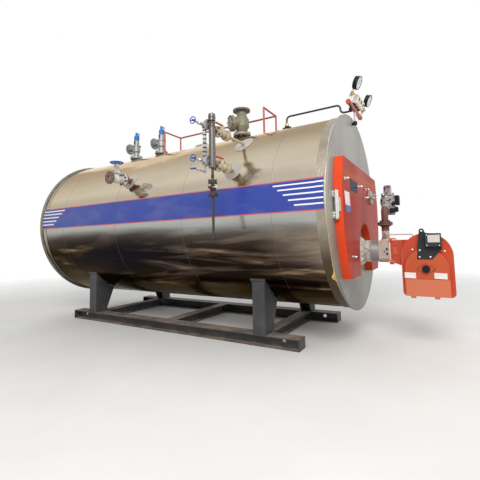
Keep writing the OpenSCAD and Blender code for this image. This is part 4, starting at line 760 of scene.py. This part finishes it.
wool = Bench()
rings = []
for turn in (tau * k / 120 for k in range(120)):
    lump = [0.012 * sin(turn * n + 1.7 * n) * cos(turn * 3 + n) for n in (5, 9, 14)]
    out = 0.146 + lump[0] + lump[1] * 0.6
    deep = 0.03 + lump[2] * 0.8 + lump[1] * 0.5
    profile = ((0, 0.1235), (0, out + 0.01), (deep * 0.5, out + 0.004), (deep, out - 0.01),
               (deep * 1.25, 0.128), (deep * 1.1, 0.1235))
    rings.append(wool.ring([round_burner(PLATE + 0.026 + x, radius, turn) for x, radius in profile]))
wool.skin(rings, loop=True)
wool.piece("collar_wool", painted("wool_white", (0.66, 0.63, 0.58), 0.95, dust=0.35, grain=26, depth=0.006,
                                  gloss=0.1))

# %% [markdown]
# Neck and ports
#
# A small cover closes an opening in the housing's neck, and the head block has
# three dark ports on its near side.

# %% neck and ports
HEAD_Y = low("burner_head")[1]

panel = Bench()
panel.slab([(2.724, -0.126, 0.957), (2.768, -0.147, 0.957), (2.768, -0.147, 1.036), (2.724, -0.126, 1.036)],
           (-0.003, -0.0062, 0), 0.003)
panel.piece("neck_panel", painted("panel_orange", (0.7, 0.16, 0.095), 0.4, dust=0.1))

ports = Bench()
for z in (0.965, 1.016):
    ports.slab(facing_near(2.655, 2.673, HEAD_Y - 0.0002, z - 0.013, z + 0.013), (0, -0.0016, 0), 0.0005)
ports.capped((2.638, HEAD_Y, 0.992), NEAR, 7.5, 3, 5, 5)
ports.piece("head_ports", BLACK)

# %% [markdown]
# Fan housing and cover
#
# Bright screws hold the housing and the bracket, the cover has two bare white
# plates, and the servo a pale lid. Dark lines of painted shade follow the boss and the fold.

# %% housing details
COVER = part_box("burner_cover")
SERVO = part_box("burner_servo")
COVER_Y = COVER[0][1]
BOSS_X, BOSS_Z = 3.0355, 0.82
FOLD_Z, FOLD_HALF = BOSS_Z - 0.103, 0.1985
DIAMOND = ((0.0789, 0.0037), (0, 0.052), (-0.0789, 0.0037), (-0.0789, -0.0037), (0, -0.052), (0.0789, -0.0037))

screws = Bench()
for x, z in ((2.92, 1.012), (3.205, 0.995)):
    screws.dome_screw((x, low("burner_housing")[1], z), NEAR, 8)
for x, z in ((2.99, 1.007), (2.986, 0.939), (3.081, 0.939)):
    screws.dome_screw((x, low("burner_bracket")[1], z), NEAR, 7.5)
for x in (SERVO[0][0] + 0.016, SERVO[1][0] - 0.028):
    for z in (SERVO[0][2] + 0.012, SERVO[1][2] - 0.012):
        screws.dome_screw((x, SERVO[0][1] - 0.0003, z), NEAR, 4)
screws.piece("burner_screws", BRIGHT)

plates = Bench()
y = COVER_Y + 0.0069
for x0, x1 in ((2.838, 2.942), (3.104, 3.214)):
    plates.slab([(x0, y, 0.727), (x1, y, 0.724), (x1, y, 0.781), (x0, y, 0.784)], (0, -0.0011, 0), 0.0003)
plates.piece("cover_plates", enamel("enamel_white", (0.8, 0.76, 0.74)))


def diamond(scale, y):
    return [(BOSS_X + x * scale, y, BOSS_Z + z * scale) for x, z in DIAMOND]


# painted shade: dark lines round the boss and along the fold
rim_line, shadow = Bench(), Bench()
rim_line.tube(diamond(0.96, COVER_Y + 0.0004), 2.8, 8, loop=True)
shadow.tube(diamond(1.04, COVER_Y + 0.0068), 3, 8, loop=True)
shadow.slab(facing_near(BOSS_X - FOLD_HALF, BOSS_X + FOLD_HALF, COVER_Y + 0.0084, FOLD_Z - 0.0002, FOLD_Z + 0.0032),
            (0, -0.0012, 0), 0.0002)
rim_line.piece("boss_rim", "cover_orange")
shadow.piece("cover_painted_shade", painted("painted_shade_red", (0.16, 0.022, 0.012), 0.6, dust=0.1))

lid = Bench()
lid.slab(facing_near(SERVO[0][0] + 0.024, SERVO[1][0] - 0.022, SERVO[0][1] - 0.0003, SERVO[0][2] + 0.042,
                     SERVO[1][2] - 0.011), (0, -0.004, 0), 0.0015)
lid.piece("servo_lid", painted("lid_beige", (0.62, 0.55, 0.49), 0.5, dust=0.1))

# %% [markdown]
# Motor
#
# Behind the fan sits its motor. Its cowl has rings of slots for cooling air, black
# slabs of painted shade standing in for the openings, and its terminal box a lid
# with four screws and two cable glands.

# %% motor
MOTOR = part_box("burner_motor")
FAN_X, FAN_Z = centre("burner_cap", 0), centre("burner_cap", 2)

# painted shade: each slot is a black slab on the cowl, no opening
slots = Bench()
for radius, count in ((0.03, 8), (0.052, 14), (0.074, 20)):
    for turn in (tau * k / count for k in range(count)):
        out = Vector((cos(turn), 0, sin(turn)))
        wide = Vector((-sin(turn), 0, cos(turn))) * 0.0035
        spot = Vector((FAN_X, MOTOR[1][1] + 0.0002, FAN_Z)) + out * radius
        long = out * 0.007
        slots.slab([spot - wide - long, spot + wide - long, spot + wide + long, spot - wide + long],
                   (0, 0.0006, 0), 0.0001)
slots.piece("cowl_slots", BLACK)

glands = Bench()
for y in (-0.022, 0.022):
    glands.turned((FAN_X - 0.052, MOTOR[0][1] + 0.11 + y, MOTOR[1][2] - 0.035), BACK,
                  [(-8, 12), (6, 12), (8, 14), (16, 14), (20, 10), (28, 7)], 6)
for x, y in CORNERS:
    glands.dome_screw((FAN_X + x * 0.036, MOTOR[0][1] + 0.116 + y * 0.054, MOTOR[1][2] - 0.001), UP, 3.5)
glands.piece("motor_glands", BLACK)

# %% [markdown]
# Gas train
#
# The brown pipe is bolted together by two flanges with a dark gasket, and the
# valve above it carries black coils and plugs on one side and bright test caps.

# %% gas train
GAS_LOW, GAS_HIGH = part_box("gas_valve")
GAS_Y = centre("gas_valve", 1)
FLANGE_Z = 1.3005

gas_bolts = Bench()
gas_bolts.nut_ring((GAS_X, 0, FLANGE_Z + 0.0183), UP, 60, 4, 13, 20)
gas_bolts.nut_ring((GAS_X, 0, FLANGE_Z - 0.018), DOWN, 60, 4, 13)
gas_bolts.piece("gas_flange_bolts", "pipe_brown")

gas_gasket = Bench()
gas_gasket.washer((GAS_X, 0, FLANGE_Z - 0.0012), UP, 70, 80.2, 2.8, 48)
gas_gasket.piece("gas_gasket", BLACK)

coils = Bench()
x = GAS_HIGH[0] - 0.004
for bottom, top, out in ((0.03, 0.085, 0.03), (0.105, 0.215, 0.048)):
    z0, z1 = GAS_LOW[2] + bottom, GAS_LOW[2] + top
    coils.slab(facing_front(x, GAS_Y - 0.04, GAS_Y + 0.04, z0, z1), (out, 0, 0), 0.006)
    for z in (z0 + (z1 - z0) * (0.15 + 0.175 * k) for k in range(5)):
        coils.slab(facing_front(x + 0.004, GAS_Y - 0.044, GAS_Y + 0.044, z, z + 0.004), (out - 0.006, 0, 0), 0.001)
coils.slab(facing_near(x - 0.05, x + 0.01, GAS_LOW[1] + 0.013, GAS_LOW[2] + 0.018, GAS_LOW[2] + 0.07),
           (0, -0.026, 0), 0.004)
coils.turned((x - 0.012, GAS_LOW[1] + 0.01, GAS_LOW[2] + 0.12), NEAR,
             [(0, 22), (18, 22), (22, 18), (30, 18), (32, 15)], 24)
coils.piece("valve_coils", BLACK)

caps = Bench()
for dx, dz, size in ((0.04, 0.022, 14), (0.052, 0.205, 11), (0.028, 0.232, 9)):
    caps.turned((GAS_LOW[0] + 0.013 + dx, GAS_LOW[1] + 0.0135, GAS_LOW[2] + dz), NEAR,
                [(0, size * 1.2), (6, size * 1.2), (7, size), (16, size), (18, size * 0.8)], 8)
for x in (GAS_LOW[0] + 0.03, GAS_HIGH[0] - 0.03):
    for z in (GAS_LOW[2] + 0.012, GAS_LOW[2] + 0.238):
        caps.dome_screw((x, GAS_LOW[1] + 0.013, z), NEAR, 5)
caps.piece("valve_caps", BRIGHT)

# %% [markdown]
# Flanges on top
#
# Every flange pair has a ring of nuts on studs, in the holes of the solids, and a
# pale gasket that shows as a thin line. The steam valve's bonnet points to the
# near side and back, so its ring has its own axis.

# %% top flanges
STEAM_X, STEAM = 0.795, high("steam_nozzle")[2]
SAFETY_XS, SAFETY = (-0.785, -1.385), high("safety_nozzles")[2]
TILT, SPIN = radians(100), radians(232)
BONNET = Vector((sin(TILT) * cos(SPIN), sin(TILT) * sin(SPIN), cos(TILT)))
HEART = Vector((STEAM_X, 0, STEAM + 0.0003 + 0.188))
RUST = painted("bolt_rust", (0.13, 0.065, 0.04), 0.6, 0.4, dust=0.3, grain=90)


def flange_pair(bench, face, along, pitch, count, below, above, size):
    face, along = Vector(face), Vector(along)
    bench.nut_ring(face + along * above * MM, along, pitch, count, size, size * 1.6)
    bench.nut_ring(face - along * below * MM, -along, pitch, count, size, size * 1.3)


top_bolts = Bench()
flange_pair(top_bolts, (STEAM_X, 0, STEAM), UP, 105, 8, 24, 24.3, 15)
for x in SAFETY_XS:
    flange_pair(top_bolts, (x, 0, SAFETY), UP, 80, 8, 20, 20.3, 14)
top_bolts.nut_ring(HEART + BONNET * 0.175, BONNET, 101, 8, 12, 18)
top_bolts.nut_ring(HEART + BONNET * 0.133, -BONNET, 101, 8, 12)
top_bolts.piece("top_bolts", RUST)

gaskets = Bench()
gaskets.washer((STEAM_X, 0, STEAM - 0.0022), UP, 110, 127.2, 4.8, 72)
for x in SAFETY_XS:
    gaskets.washer((x, 0, SAFETY - 0.0012), UP, 90, 106.5, 3)
gaskets.washer(HEART + BONNET * 0.1535, BONNET, 90, 113.5, 3)
gaskets.piece("pale_gaskets", "pale_gasket")

# %% [markdown]
# Flanges at the side
#
# The feed valve, the two branches of the level column and the column's drain are
# bolted the same way, with smaller nuts.

# %% side flanges
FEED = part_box("feed_valve")
FEED_X, FEED_Y, FEED_Z = centre("feed_nozzle", 0), centre("feed_valve", 1), centre("feed_nozzle", 2)
COL_X, COL_Y = centre("level_column", 0), centre("level_column", 1)
BRANCHES = (2.282, 1.92)
DRAIN_Z = 1.675

side_bolts = Bench()
flange_pair(side_bolts, (FEED_X, FEED[1][1], FEED_Z), NEAR, 65, 8, 18, 18.3, 13)
side_bolts.nut_ring((FEED_X, FEED_Y, FEED_Z + 0.091), UP, 48, 6, 10, 15)
for z in BRANCHES:
    for face in (COL_Y + 0.1003, COL_Y + 0.2757):
        side_bolts.nut_ring((COL_X, face - 0.0152, z), NEAR, 45, 4, 11, 16)
        side_bolts.nut_ring((COL_X, face + 0.0152, z), FAR, 45, 4, 11, 14)
for shift in (0.0655, -0.0655):
    side_bolts.nut_ring((COL_X, COL_Y, DRAIN_Z + shift + 0.0145), UP, 36, 4, 9, 13)
    side_bolts.nut_ring((COL_X, COL_Y, DRAIN_Z + shift - 0.0145), DOWN, 36, 4, 9, 12)
side_bolts.piece("side_bolts", RUST)

# %% [markdown]
# Springs of the safety valves
#
# Behind the windows of each bonnet stands a coil spring, a tube swept along a
# helix. The valve's finish has a zone for its blue cap and lever.

# %% safety valves
springs = Bench()
for x in SAFETY_XS:
    for side in (-1, 1):
        springs.tube([(x + 0.014 * cos(0.42 * k), side * 0.036 + 0.0075 * sin(0.42 * k),
                       SAFETY + 0.242 + 0.0013 * k) for k in range(42)], 2.2, 6)
springs.piece("valve_springs", "column_steel")

# %% [markdown]
# Feet of the handrail
#
# Each post stands in a bright rosette that lies on the curve of the shell.

# %% handrail feet
POST_Y = 0.19

feet = Bench()
for x in (low("handrail")[0] + 0.013, high("handrail")[0] - 0.013):
    for y in (-POST_Y, POST_Y):
        out = Vector((0, y, sqrt(SHELL ** 2 - POST_Y ** 2)))
        feet.turned(Vector((x, 0, AXIS)) + out, out,
                    [(2.5, 58), (6, 58), (10, 40), (16, 20), (22, 16.5)], 32)
feet.piece("post_rosettes", "rosette_pale")

# %% [markdown]
# Feed valve details
#
# The gland follower is held by two nuts, and the stem shows its thread, a helix
# again. The nut of the handwheel sits on top.

# %% feed valve
feed_small = Bench()
for side in (-1, 1):
    feed_small.nut((FEED_X + side * 0.0175, FEED_Y, FEED_Z + 0.1145), UP, 7, 12)
feed_small.nut((FEED_X, FEED_Y, FEED_Z + 0.2235), UP, 15)
feed_small.tube([(FEED_X + 0.0092 * cos(0.7 * k), FEED_Y + 0.0092 * sin(0.7 * k),
                  FEED_Z + 0.116 + 0.0008 * k) for k in range(60)], 1.2, 5)
feed_small.piece("feed_gland", BRIGHT)

# %% [markdown]
# Gauge glass
#
# The glass is guarded by rods and closed by cocks with blue ring handles. Dark
# clips hold the rods together at even steps.

# %% gauge glass
GLASS_X, GLASS_LOW, GLASS_HIGH = COL_X - 0.095, 1.96, 2.34
GLASS_DRAIN = GLASS_LOW - 0.105

hubs = Bench()
for z in (GLASS_LOW, GLASS_HIGH):
    hubs.capped((GLASS_X, COL_Y - 0.184, z), NEAR, 12, 11, 13, 10)
hubs.piece("ring_hubs", "wheel_blue")

cocks = Bench()
for z, size in ((GLASS_LOW, 20), (GLASS_HIGH, 20), (GLASS_DRAIN, 13)):
    cocks.capped((GLASS_X, COL_Y - 0.022, z), NEAR, size, 14, 16, size * 0.9)
    cocks.capped((GLASS_X, COL_Y - 0.08, z), NEAR, size * 0.85, 20, 24, size * 0.6, 20)
    cocks.capped((GLASS_X, COL_Y - 0.112, z), NEAR, size * 0.7, 12, 14, size * 0.6)
cocks.piece("cock_glands", BRIGHT)

clips = Bench()
for k in range(7):
    clips.turned((GLASS_X, COL_Y, GLASS_LOW + 0.052 + 0.045 * k), UP,
                 [(0, 19.5), (1, 21.5), (7, 21.5), (8, 19.5)], 24)
clips.piece("glass_clips", BLACK)

# %% [markdown]
# Level column
#
# A worn brown collar sits below the column's cap, and each branch valve has a
# lever in a red sleeve.

# %% level column
collar = Bench()
collar.turned((COL_X, COL_Y, 2.298), UP, [(0, 34), (4, 36.5), (12, 36.5), (16, 34),
              (46, 34), (50, 36.5), (57.5, 36.5), (60, 34)], 40)
collar.piece("column_collar", painted("collar_brown", (0.1, 0.075, 0.06), 0.4, 0.6, dust=0.3, worn=0.3,
                                      worn_colour=(0.4, 0.37, 0.34)))

levers = Bench()
for z in BRANCHES:
    y = COL_Y + 0.188
    levers.tube([(COL_X, y + 0.012, z + 0.0925), (COL_X, y - 0.03, z + 0.0935), (COL_X, y - 0.112, z + 0.0925)],
                lambda k: (9.5, 11.5, 10.5)[k], 10)
levers.piece("branch_levers", "rail_red")

# %% [markdown]
# Water in the glass
#
# The tube shows a darker lower half where the water stands. Its ends are held by
# flanges with four nuts and by two packing nuts.

# %% glass tube
WATER_LEVEL = 2.18


def clear_glass():
    f = Finish("gauge_tube")
    water = f.steps(f.axis("Z") - (WATER_LEVEL - 0.48), (0.48, 1), (0.485, 0))
    return f.surface(base_color=f.mix(water, (0.75, 0.78, 0.78), (0.3, 0.38, 0.4)),
                     roughness=0.05 + f.noise(30, 2) * 0.05, coat_weight=1.0)


tube = Bench()
tube.turned((GLASS_X, COL_Y, GLASS_LOW + 0.028), UP, [(0, 11.8), ((GLASS_HIGH - GLASS_LOW) / MM - 56, 11.8)], 24)
tube.piece("glass_tube", clear_glass())

nuts = Bench()
for z in (GLASS_LOW, GLASS_HIGH):
    nuts.nut_ring((GLASS_X + 0.0577, COL_Y, z), FRONT, 41, 4, 6.5, 9)
    nuts.nut_ring((GLASS_X + 0.0273, COL_Y, z), BACK, 41, 4, 6.5, 9)
    for shift in (-0.026, 0.0215):
        nuts.capped((GLASS_X, COL_Y, z + shift), UP, 26.5, 10, 12, 24)
nuts.piece("glass_nuts", "nozzle_grey")

# %% [markdown]
# Electrodes and drain
#
# The column's cap carries four short electrodes over a dark ring, and the drain
# valve a white knob.

# %% electrodes
CAP_TOP = high("level_column")[2]

electrodes = Bench()
for spot in circle_of((COL_X, COL_Y, CAP_TOP), UP, 0.018, 4):
    electrodes.turned(spot, UP, [(-2, 8), (4, 8), (5, 5.5), (14, 5), (16, 3)], 12)
electrodes.capped((COL_X, COL_Y, CAP_TOP - 0.04), UP, 38.5, 6, 7.5, 37.5, 40)
electrodes.piece("electrodes", BLACK)

knob = Bench()
knob.turned((COL_X + 0.026, COL_Y - 0.02, DRAIN_Z + 0.004), (1, -0.25, 0), [(-10, 6), (26, 6),
            (29, 11), (36, 12.8), (43, 11), (46, 5)], 24)
knob.piece("drain_knob", painted("knob_white", (0.62, 0.62, 0.6), 0.4, dust=0.1))

# %% [markdown]
# Gauges
#
# A dial has tick marks on an arc of 270 degrees, a pointer with a tail and a red
# line at the limit, behind a pane. The manifold leans, so its small parts are built
# upright and seated by a matrix.

# %% gauges
LEG_X = 2.376
LEAN = Matrix.Translation((LEG_X, 0, 2.683)) @ Matrix.Rotation(radians(25), 4, "Y")
GAUGES = ((-0.296, 0.42), (0.296, 0.44))  # place across, and share of the scale that the pointer shows
GAUGE_YS = [y for y, share in GAUGES]
TICKS, ARC, LIMIT = 51, 270, 0.64


def on_scale(share):
    return radians(225 - ARC * share)


def hand(bench, at, angle, back, reach, wide_back, wide_tip, thick):
    out = Vector((0, cos(angle), sin(angle)))
    wide = Vector((0, -sin(angle), cos(angle)))
    bench.slab([at - out * back - wide * wide_back, at - out * back + wide * wide_back,
                at + out * reach + wide * wide_tip, at + out * reach - wide * wide_tip], (thick, 0, 0), thick / 6)


def pane_finish():
    f = Finish("pane")
    smear = f.steps(f.noise(14, 4), (0.4, 0.03), (0.8, 0.1))
    return f.surface(transmission_weight=1.0, ior=1.1, roughness=smear,
                     base_color=f.mix(smear, (1, 1, 1), (0.9, 0.9, 0.88)))


dials, ticks, red, panes = Bench(LEAN), Bench(LEAN), Bench(LEAN), Bench(LEAN)
for y, share in GAUGES:
    x, z = 0.03, 0.222
    dials.turned((x, y, z), FRONT, [(0.2, 68.5), (1.2, 68.5)], 64)
    for k in range(TICKS):
        start = 0.05 if k % 10 == 0 else 0.053 if k % 5 == 0 else 0.056
        width = 0.0008 if k % 5 == 0 else 0.0003
        hand(ticks, Vector((x + 0.0013, y, z)), on_scale(k / (TICKS - 1)), -start, 0.06, width, width, 0.0003)
    hand(ticks, Vector((x + 0.0026, y, z)), on_scale(share), 0.014, 0.05, 0.0024, 0.0006, 0.0006)
    ticks.capped((x + 0.0016, y, z), FRONT, 5, 2.2, 2.6, 4, 20)
    hand(red, Vector((x + 0.0018, y, z)), on_scale(LIMIT), -0.044, 0.062, 0.0011, 0.0011, 0.0003)
    panes.turned((x + 0.0042, y, z), FRONT, [(0, 68.8), (1.3, 68.8)], 64)
dials.piece("gauge_dials", enamel("enamel_dial", (0.76, 0.79, 0.83)))
ticks.piece("gauge_marks", BLACK)
red.piece("gauge_limits", film("limit_red", (0.6, 0.03, 0.02)))
panes.piece("gauge_panes", pane_finish())

# %% [markdown]
# Switches and cocks
#
# The switch boxes have a small scale window, a setting knob and four screws. Brass
# cocks and pale nipples carry the gauges, and red blocks join them to the manifold.

# %% switches and cocks
BRASS = painted("brass", (0.36, 0.25, 0.1), 0.4, 1.0, dust=0.35)
SWITCH_X, SWITCH_Z = 0.0415, 0.0923

windows, knobs = Bench(LEAN), Bench(LEAN)
for y in (-0.106, 0, 0.106):
    windows.slab(facing_front(SWITCH_X, y - 0.018, y + 0.018, SWITCH_Z - 0.004, SWITCH_Z + 0.03),
                 (0.0016, 0, 0), 0.0005)
    windows.turned((0, y, 0.026), UP, [(0, 20), (2, 24), (14, 24), (18, 19)], 20)
    knobs.capped((SWITCH_X, y, SWITCH_Z - 0.024), FRONT, 7.5, 4, 5, 6.2, 20)
    for across, rise in CORNERS:
        knobs.dome_screw((SWITCH_X, y + across * 0.034, SWITCH_Z + rise * 0.034), FRONT, 2.8)
windows.piece("switch_windows", BLACK)
knobs.piece("switch_screws", BRIGHT)

fittings, pale, blocks = Bench(LEAN), Bench(LEAN), Bench(LEAN)
for y in GAUGE_YS:
    fittings.capped((0, y, 0.064), UP, 17.5, 14, 16, 15)
    fittings.capped((0, y, 0.0805), UP, 18.5, 34, 36, 16.5)
    fittings.turned((0, y, 0.098), FRONT, [(0, 10), (24, 10), (26, 7), (34, 7)], 16)
    pale.turned((0, y, 0.025), UP, [(0, 13.5), (30, 13.5), (32, 17), (38, 17)], 16)
    pale.capped((0, y, 0.12), UP, 16.5, 18, 20, 14.5)
    blocks.turned((0, y - 0.028, 0), FAR, [(0, 27), (3, 29.5), (53, 29.5), (56, 27)], 8)
fittings.piece("gauge_cocks", BRASS)
pale.piece("gauge_nipples", BRIGHT)
blocks.piece("manifold_blocks", "rail_red")

# %% [markdown]
# Leg and pipe of the manifold
#
# A white sleeve and a black clamp hold the manifold's leg to the end plate. The
# thin black pipe ends on the shell in a dark union with two lobes and a brass nut.

# %% leg and pipe
PIPE_X = 1.495

nozzle = Bench()
nozzle.capped((PIPE_X, 0, 2.661), UP, 28, 20, 24, 25)
nozzle.capped((PIPE_X, 0, 2.685), UP, 20.5, 14, 17, 17.5)
nozzle.piece("pipe_nut", BRASS)

leg = Bench()
leg.turned((LEG_X, 0, 2.54), UP, [(0, 15), (114, 15)], 32)
leg.piece("leg_sleeve", painted("sleeve_white", (0.62, 0.61, 0.58), 0.5, dust=0.25))

union = Bench()
union.turned((LEG_X, 0, 2.5), UP, [(0, 18), (2, 23.5), (34, 23.5), (38, 20),
             (43.5, 20)], 24)
union.capped((PLATE, 0, 2.518), FRONT, 18.8, 51, 52.5, 15, 24)
union.turned((LEG_X, -0.205, 2.663), DOWN, [(0, 11), (16, 11), (20, 22), (44, 24),
             (52, 19)], 24)
union.turned((PIPE_X, 0, 2.56), UP, [(0, 34), (6, 34), (9, 24.5), (37.5, 24.5)], 24)
for way in (-1, 1):
    union.turned((PIPE_X + way * 0.022, 0, 2.632), (way, 0, -0.15),
                 [(0, 16), (10, 21), (30, 21), (36, 15)], 16)
union.turned((PIPE_X, 0, 2.598), UP, [(0, 22), (4, 30), (58, 30), (62, 22)], 16)
union.piece("black_fittings", BLACK)

# %% [markdown]
# Top and rear
#
# The manhole, the round rear door and the flue flange are closed with nuts too.

# %% top and rear
MANHOLE_X, REAR = 0.13, -2.3403

rear_nuts = Bench()
for side in (-1, 1):
    rear_nuts.nut((MANHOLE_X + side * 0.0825, 0, 2.62), UP, 14, 20)
for turn in (radians(30 * k + 15) for k in range(12)):
    rear_nuts.nut((REAR - 0.04, 0.32 * sin(turn), BURN + 0.32 * cos(turn)), BACK, 17, 28)
rear_nuts.nut_ring((REAR - 0.138, 0, 1.98), FRONT, 230, 12, 11, 18)
rear_nuts.piece("rear_nuts", RUST)

# %% [markdown]
# Floor, light and air
#
# A plain pale floor under soft studio light. The air is white to the camera, in
# mirrors and through glass, and gentler as a light, so the paints keep their colours.

# %% stage
AIR_LIGHT = 0.55


def stage_floor():
    f = Finish("pale_floor")
    shade = f.mix(f.steps(f.noise(1.2, 5), (0.3, 0), (0.7, 1)), (0.74, 0.74, 0.73), (0.79, 0.79, 0.78))
    spot = f.node("ShaderNodeTexCoord", out="Object")
    reach = f.node("ShaderNodeVectorMath", {"operation": "LENGTH"}, {0: spot}, out="Value")
    fade = f.steps(reach / 20, (0.22, 1), (0.5, 0))
    f.surface(base_color=shade, roughness=0.75, bump=f.noise(30, 2), depth=0.0005, alpha=fade)
    mesh = bpy.data.meshes.new("floor")
    mesh.from_pydata([(-30, -30, -0.001), (30, -30, -0.001), (30, 30, -0.001), (-30, 30, -0.001)], [], [(0, 1, 2, 3)])
    floor = bpy.data.objects.new("floor", mesh)
    bpy.context.scene.collection.objects.link(floor)
    mesh.materials.append(f.material)


def soft_light(name, at, toward, size, power, colour=(1, 1, 1)):
    lamp = bpy.data.lights.new(name, "AREA")
    lamp.shape, lamp.size, lamp.size_y, lamp.energy, lamp.color = "RECTANGLE", size[0], size[1], power, colour
    holder = bpy.data.objects.new(name, lamp)
    bpy.context.scene.collection.objects.link(holder)
    holder.location = at
    holder.rotation_euler = (Vector(toward) - Vector(at)).to_track_quat("-Z", "Y").to_euler()


def white_air():
    world = bpy.data.worlds.new("air")
    bpy.context.scene.world = world
    world.use_nodes = True
    air = world.node_tree

    def larger(a, b):
        node = air.nodes.new("ShaderNodeMath")
        node.operation = "MAXIMUM"
        air.links.new(a, node.inputs[0])
        air.links.new(b, node.inputs[1])
        return node.outputs[0]

    ray = air.nodes.new("ShaderNodeLightPath").outputs
    seen = larger(ray["Is Camera Ray"], larger(ray["Is Glossy Ray"], ray["Is Transmission Ray"]))
    strength = air.nodes.new("ShaderNodeMapRange")
    strength.inputs["To Min"].default_value = AIR_LIGHT
    strength.inputs["To Max"].default_value = 1.0
    air.links.new(seen, strength.inputs["Value"])
    background = air.nodes["Background"]
    air.links.new(strength.outputs[0], background.inputs["Strength"])
    background.inputs["Color"].default_value = (1, 1, 1, 1)


stage_floor()
soft_light("key", (4.5, -7.0, 6.5), (0.6, 0, 1.3), (5, 4), 620, (1, 0.98, 0.95))
soft_light("fill", (7.5, 2.5, 4.0), (1.5, 0, 1.2), (4, 4), 110)
soft_light("rim", (-5.5, 5.0, 6.0), (0, 0, 1.6), (8, 6), 110)
white_air()
bpy.context.scene.view_settings.view_transform = "Standard"
print("stage ready")

# %% [markdown]
# Finish
#
# The picture must not be larger than the solids.
